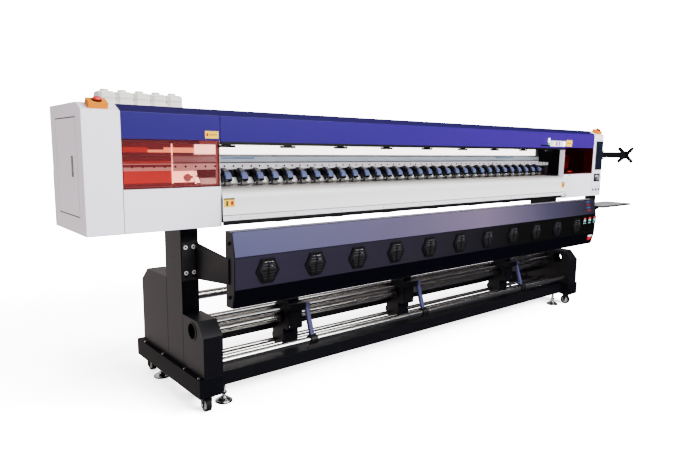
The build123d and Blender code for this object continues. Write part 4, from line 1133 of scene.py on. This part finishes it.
# --- shelf and monitor arm ---------------------------------------------------------
def make_side_fittings(sizes):
    """Laptop shelf with its dark rim, and the monitor arm with its cross-shaped plate."""
    dress("laptop_shelf", "laptop_shelf_plate", ["black plastic"], sizes.edge)
    x = extent("laptop_shelf")[0]
    bm = bmesh.new()
    box(bm, (x[1] - 567, x[1] - 8), (-30, 212), (849.6, 851), 0)
    add_piece("laptop_shelf_mat", bm, "root", ["shelf top"], edge=0.5 * MM)
    dress("monitor_base", "monitor_arm_base", ["black plastic"], sizes.edge)
    dress("monitor_arm", "monitor_arm_beam", ["black plastic"], 2.5 * MM)
    bm = bmesh.new()
    reach = math.degrees(math.atan2(MONITOR_TIP[1] - MONITOR_BASE[1],
                                    MONITOR_TIP[0] - MONITOR_BASE[0]))
    corners = []
    y = MONITOR_BASE[1]
    for height in (1314, 1322, 1330, 1338, 1346):
        corners += box(bm, (2372, 2600), (y - 18.6, y + 18.6), (height, height + 4), 0)
    corners += box(bm, (2366, 2374), (y - 20, y + 20), (1308, 1357), 1)
    corners += box(bm, (2600, 2612), (y - 21, y + 21), (1304, 1361), 1)
    tilt(bm, corners, MONITOR_BASE, reach, "Z")
    add_piece("monitor_arm_ribs", bm, "monitor_arm", ["glossy black plastic", "black plastic"],
              edge=0.8 * MM)
    make_monitor_plate()


def make_monitor_plate():
    """Four curved fingers round a hub, each with a hole near its end."""
    bm = bmesh.new()
    x, y, z = MONITOR_TIP
    for low in (z - 37, z + 28):
        box(bm, (x - 14, x + 42), (y - 14, y + 14), (low, low + 10), 0)
    box(bm, (x + 30, x + 42), (y - 22, y + 22), (z - 37, z + 38), 0)
    rod(bm, (x, y, z), 6, 78, "Z", 1, 20)
    rod(bm, (x + 44, y, z), 30, 10, "X", 0, 36)
    for turn in (45, 135, 225, 315):
        corners = []
        for step in range(5):
            low = 20 + 15 * step
            half = 18 - step
            corners += box(bm, (x + 46 - 0.0022 * low * low, x + 50),
                           (y + low - 1, y + low + 16), (z - half, z + half), 0)
        corners += ring(bm, (x + 46, y + 70.7, z), 2.6, 9, 9, "X", 1, 20)
        tilt(bm, corners, MONITOR_TIP, turn, "X")
    add_piece("monitor_plate_fingers", bm, "monitor_head", ["black plastic", "satin steel"],
              ("monitor_head",), edge=1.0 * MM)


def make_power_inlet():
    """The mains inlet on the back, with its lid ring and pins."""
    keep_node("power_inlet", "black plastic")
    bm = bmesh.new()
    ring(bm, (2200, DEPTH + 45, 1040), 28.2, 34, 5, "Y", 0)
    for k in range(5):
        turn = math.tau * k / 5
        rod(bm, (2200 + 16 * math.cos(turn), DEPTH + 27, 1040 + 16 * math.sin(turn)), 3.3, 28,
            "Y", 1, 14)
    for x in (2168, 2232):
        for z in (1003, 1077):
            rod(bm, (x, DEPTH + 7, z), 4, 3, "Y", 1, 12)
    add_piece("power_inlet_ring", bm, "root", ["stop red", "cast zinc"],
              edge=0.6 * MM)


# --- stage -------------------------------------------------------------------------
def make_camera():
    """The camera at the left, a little above the middle, looking along the machine."""
    yaw, pitch, roll = math.radians(39.581), math.radians(8.389), math.radians(0.695)
    ahead = Vector((math.sin(yaw) * math.cos(pitch), math.cos(yaw) * math.cos(pitch),
                    -math.sin(pitch)))
    level = Vector((math.cos(yaw), -math.sin(yaw), 0))
    upright = level.cross(ahead)
    right = level * math.cos(roll) + upright * math.sin(roll)
    up = upright * math.cos(roll) - level * math.sin(roll)
    data = bpy.data.cameras.new("camera")
    data.lens = 30.4
    data.sensor_width = 36.0
    data.clip_end = 100.0
    camera = bpy.data.objects.new("camera", data)
    bpy.context.scene.collection.objects.link(camera)
    turn = Matrix((right, up, -ahead)).transposed().to_4x4()
    place = MIDDLE + Vector((-3045, -2662, 1359)) * MM
    camera.matrix_world = Matrix.Translation(place) @ turn
    bpy.context.scene.camera = camera


def add_light(name, place, target, size, power, tint=(1, 1, 1)):
    """A soft rectangular lamp aimed at a point, both in metres from the middle."""
    data = bpy.data.lights.new(name, "AREA")
    data.shape = "RECTANGLE"
    data.size, data.size_y = size
    data.energy = power
    data.color = tint
    lamp = bpy.data.objects.new(name, data)
    bpy.context.scene.collection.objects.link(lamp)
    lamp.location = MIDDLE + Vector(place)
    lamp.rotation_mode = "QUATERNION"
    lamp.rotation_quaternion = (Vector(target) - Vector(place)).to_track_quat("-Z", "Y")
    return lamp


def make_world():
    """Pale surroundings: bright behind the machine and above, dimmer in front."""
    world = bpy.data.worlds.new("studio")
    bpy.context.scene.world = world
    world.use_nodes = True
    nodes, links = world.node_tree.nodes, world.node_tree.links
    sky = nodes["Background"]
    place = nodes.new("ShaderNodeTexCoord")
    split = nodes.new("ShaderNodeSeparateXYZ")
    links.new(place.outputs["Generated"], split.inputs["Vector"])
    fade = nodes.new("ShaderNodeMapRange")
    fade.inputs["From Min"].default_value = -0.30
    fade.inputs["From Max"].default_value = 0.80
    # dark before the machine, bright behind it and to its left
    lean = nodes.new("ShaderNodeMath")
    lean.operation = "MULTIPLY_ADD"
    lean.inputs[1].default_value = -0.75
    links.new(split.outputs["X"], lean.inputs[0])
    links.new(split.outputs["Y"], lean.inputs[2])
    links.new(lean.outputs["Value"], fade.inputs["Value"])
    ramp = nodes.new("ShaderNodeValToRGB")
    ramp.color_ramp.elements[0].color = (0.035, 0.035, 0.045, 1)
    ramp.color_ramp.elements[1].color = (1.0, 0.88, 0.86, 1)
    links.new(fade.outputs["Result"], ramp.inputs["Fac"])
    seen = nodes.new("ShaderNodeBackground")
    seen.inputs["Color"].default_value = (1, 1, 1, 1)
    seen.inputs["Strength"].default_value = 20.0
    links.new(ramp.outputs["Color"], sky.inputs["Color"])
    sky.inputs["Strength"].default_value = 1.15
    path = nodes.new("ShaderNodeLightPath")
    mix = nodes.new("ShaderNodeMixShader")
    links.new(path.outputs["Is Camera Ray"], mix.inputs["Fac"])
    links.new(sky.outputs["Background"], mix.inputs[1])
    links.new(seen.outputs["Background"], mix.inputs[2])
    links.new(mix.outputs["Shader"], nodes["World Output"].inputs["Surface"])


def make_floor():
    """A large pale floor."""
    bm = bmesh.new()
    bmesh.ops.create_grid(bm, x_segments=2, y_segments=2, size=30.0)
    mesh = bpy.data.meshes.new("floor")
    bm.to_mesh(mesh)
    bm.free()
    floor = bpy.data.objects.new("floor", mesh)
    bpy.context.scene.collection.objects.link(floor)
    mesh.materials.append(FINISHES["floor"])
    # the floor lights the machine but isn't mirrored in its dark, glossy faces
    floor.visible_glossy = False
    floor.is_shadow_catcher = True


# --- operators ---------------------------------------------------------------------
class PRINTER_OT_finishes(bpy.types.Operator):
    """Mix every finish of the machine"""

    bl_idname = "printer.finishes"
    bl_label = "Finishes"

    def execute(self, context):
        make_finishes(context.scene.printer_colours)
        return {"FINISHED"}


class PRINTER_OT_stage(bpy.types.Operator):
    """Set up the camera, the lamps, the surroundings and the floor"""

    bl_idname = "printer.stage"
    bl_label = "Stage"

    def execute(self, context):
        make_camera()
        make_world()
        make_floor()
        add_light("key lamp", (1.5, -5.5, 4.6), (0.0, 0.1, 1.1), (5.0, 2.6), 1050)
        add_light("top lamp", (0.0, -1.6, 5.2), (0.0, 0.2, 1.0), (6.0, 2.5), 260,
                  (0.93, 0.95, 1.0))
        low = add_light("low lamp", (-2.4, -5.0, 1.0), (0.0, 0.0, 0.8), (3.0, 1.4), 60)
        # the low lamp only fills shadows, it isn't mirrored in the glossy faces
        low.visible_glossy = False
        return {"FINISHED"}


class PRINTER_OT_housings(bpy.types.Operator):
    """Dress the end housings and the side door"""

    bl_idname = "printer.housings"
    bl_label = "Housings"

    def execute(self, context):
        make_housings(context.scene.printer_sizes)
        make_power_inlet()
        return {"FINISHED"}


class PRINTER_OT_covers(bpy.types.Operator):
    """Dress the covers and windows"""

    bl_idname = "printer.covers"
    bl_label = "Covers and windows"

    def execute(self, context):
        make_covers(context.scene.printer_sizes)
        return {"FINISHED"}


class PRINTER_OT_tanks(bpy.types.Operator):
    """Model the ink tanks"""

    bl_idname = "printer.tanks"
    bl_label = "Ink tanks"

    def execute(self, context):
        make_tanks()
        return {"FINISHED"}


class PRINTER_OT_print_bay(bpy.types.Operator):
    """Model the rail, pinch rollers, platen and carriage"""

    bl_idname = "printer.print_bay"
    bl_label = "Print bay"

    def execute(self, context):
        sizes = context.scene.printer_sizes
        make_rail(sizes)
        make_pinch_row()
        make_deck(sizes)
        make_inner_works(sizes)
        return {"FINISHED"}


class PRINTER_OT_controls(bpy.types.Operator):
    """Model the screen, knob, buttons, stops and labels"""

    bl_idname = "printer.controls"
    bl_label = "Controls"

    def execute(self, context):
        make_controls()
        return {"FINISHED"}


class PRINTER_OT_dryer(bpy.types.Operator):
    """Model the drying box with its fans and controllers"""

    bl_idname = "printer.dryer"
    bl_label = "Dryer"

    def execute(self, context):
        make_dryer(context.scene.printer_sizes)
        return {"FINISHED"}


class PRINTER_OT_stand(bpy.types.Operator):
    """Dress the stand, feet and casters"""

    bl_idname = "printer.stand"
    bl_label = "Stand"

    def execute(self, context):
        sizes = context.scene.printer_sizes
        make_stand(sizes)
        make_feet()
        make_casters(sizes)
        return {"FINISHED"}


class PRINTER_OT_take_up(bpy.types.Operator):
    """Model the take-up with its rollers and tension arms"""

    bl_idname = "printer.take_up"
    bl_label = "Take-up"

    def execute(self, context):
        make_take_up(context.scene.printer_sizes)
        return {"FINISHED"}


class PRINTER_OT_side_fittings(bpy.types.Operator):
    """Model the laptop shelf and the monitor arm"""

    bl_idname = "printer.side_fittings"
    bl_label = "Shelf and monitor arm"

    def execute(self, context):
        make_side_fittings(context.scene.printer_sizes)
        return {"FINISHED"}


STEPS = ("finishes", "stage", "housings", "covers", "tanks", "print_bay", "controls", "dryer",
         "stand", "take_up", "side_fittings")


class PRINTER_PT_panel(bpy.types.Panel):
    """Colours, sizes and building steps of the printer"""

    bl_idname = "PRINTER_PT_panel"
    bl_label = "Roll printer"
    bl_space_type = "VIEW_3D"
    bl_region_type = "UI"
    bl_category = "Roll printer"

    def draw(self, context):
        for group in (context.scene.printer_colours, context.scene.printer_sizes):
            column = self.layout.column()
            for name in group.__annotations__:
                column.prop(group, name)
        for step in STEPS:
            self.layout.operator(f"printer.{step}")


CLASSES = (PrinterColours, PrinterSizes, PRINTER_OT_finishes, PRINTER_OT_stage,
           PRINTER_OT_housings, PRINTER_OT_covers, PRINTER_OT_tanks, PRINTER_OT_print_bay,
           PRINTER_OT_controls, PRINTER_OT_dryer, PRINTER_OT_stand, PRINTER_OT_take_up,
           PRINTER_OT_side_fittings, PRINTER_PT_panel)


def register():
    for item in CLASSES:
        bpy.utils.register_class(item)
    bpy.types.Scene.printer_colours = bpy.props.PointerProperty(type=PrinterColours)
    bpy.types.Scene.printer_sizes = bpy.props.PointerProperty(type=PrinterSizes)


def unregister():
    del bpy.types.Scene.printer_sizes
    del bpy.types.Scene.printer_colours
    for item in reversed(CLASSES):
        bpy.utils.unregister_class(item)


def main():
    register()
    for step in STEPS:
        getattr(bpy.ops.printer, step)()


if __name__ == "__main__":
    main()
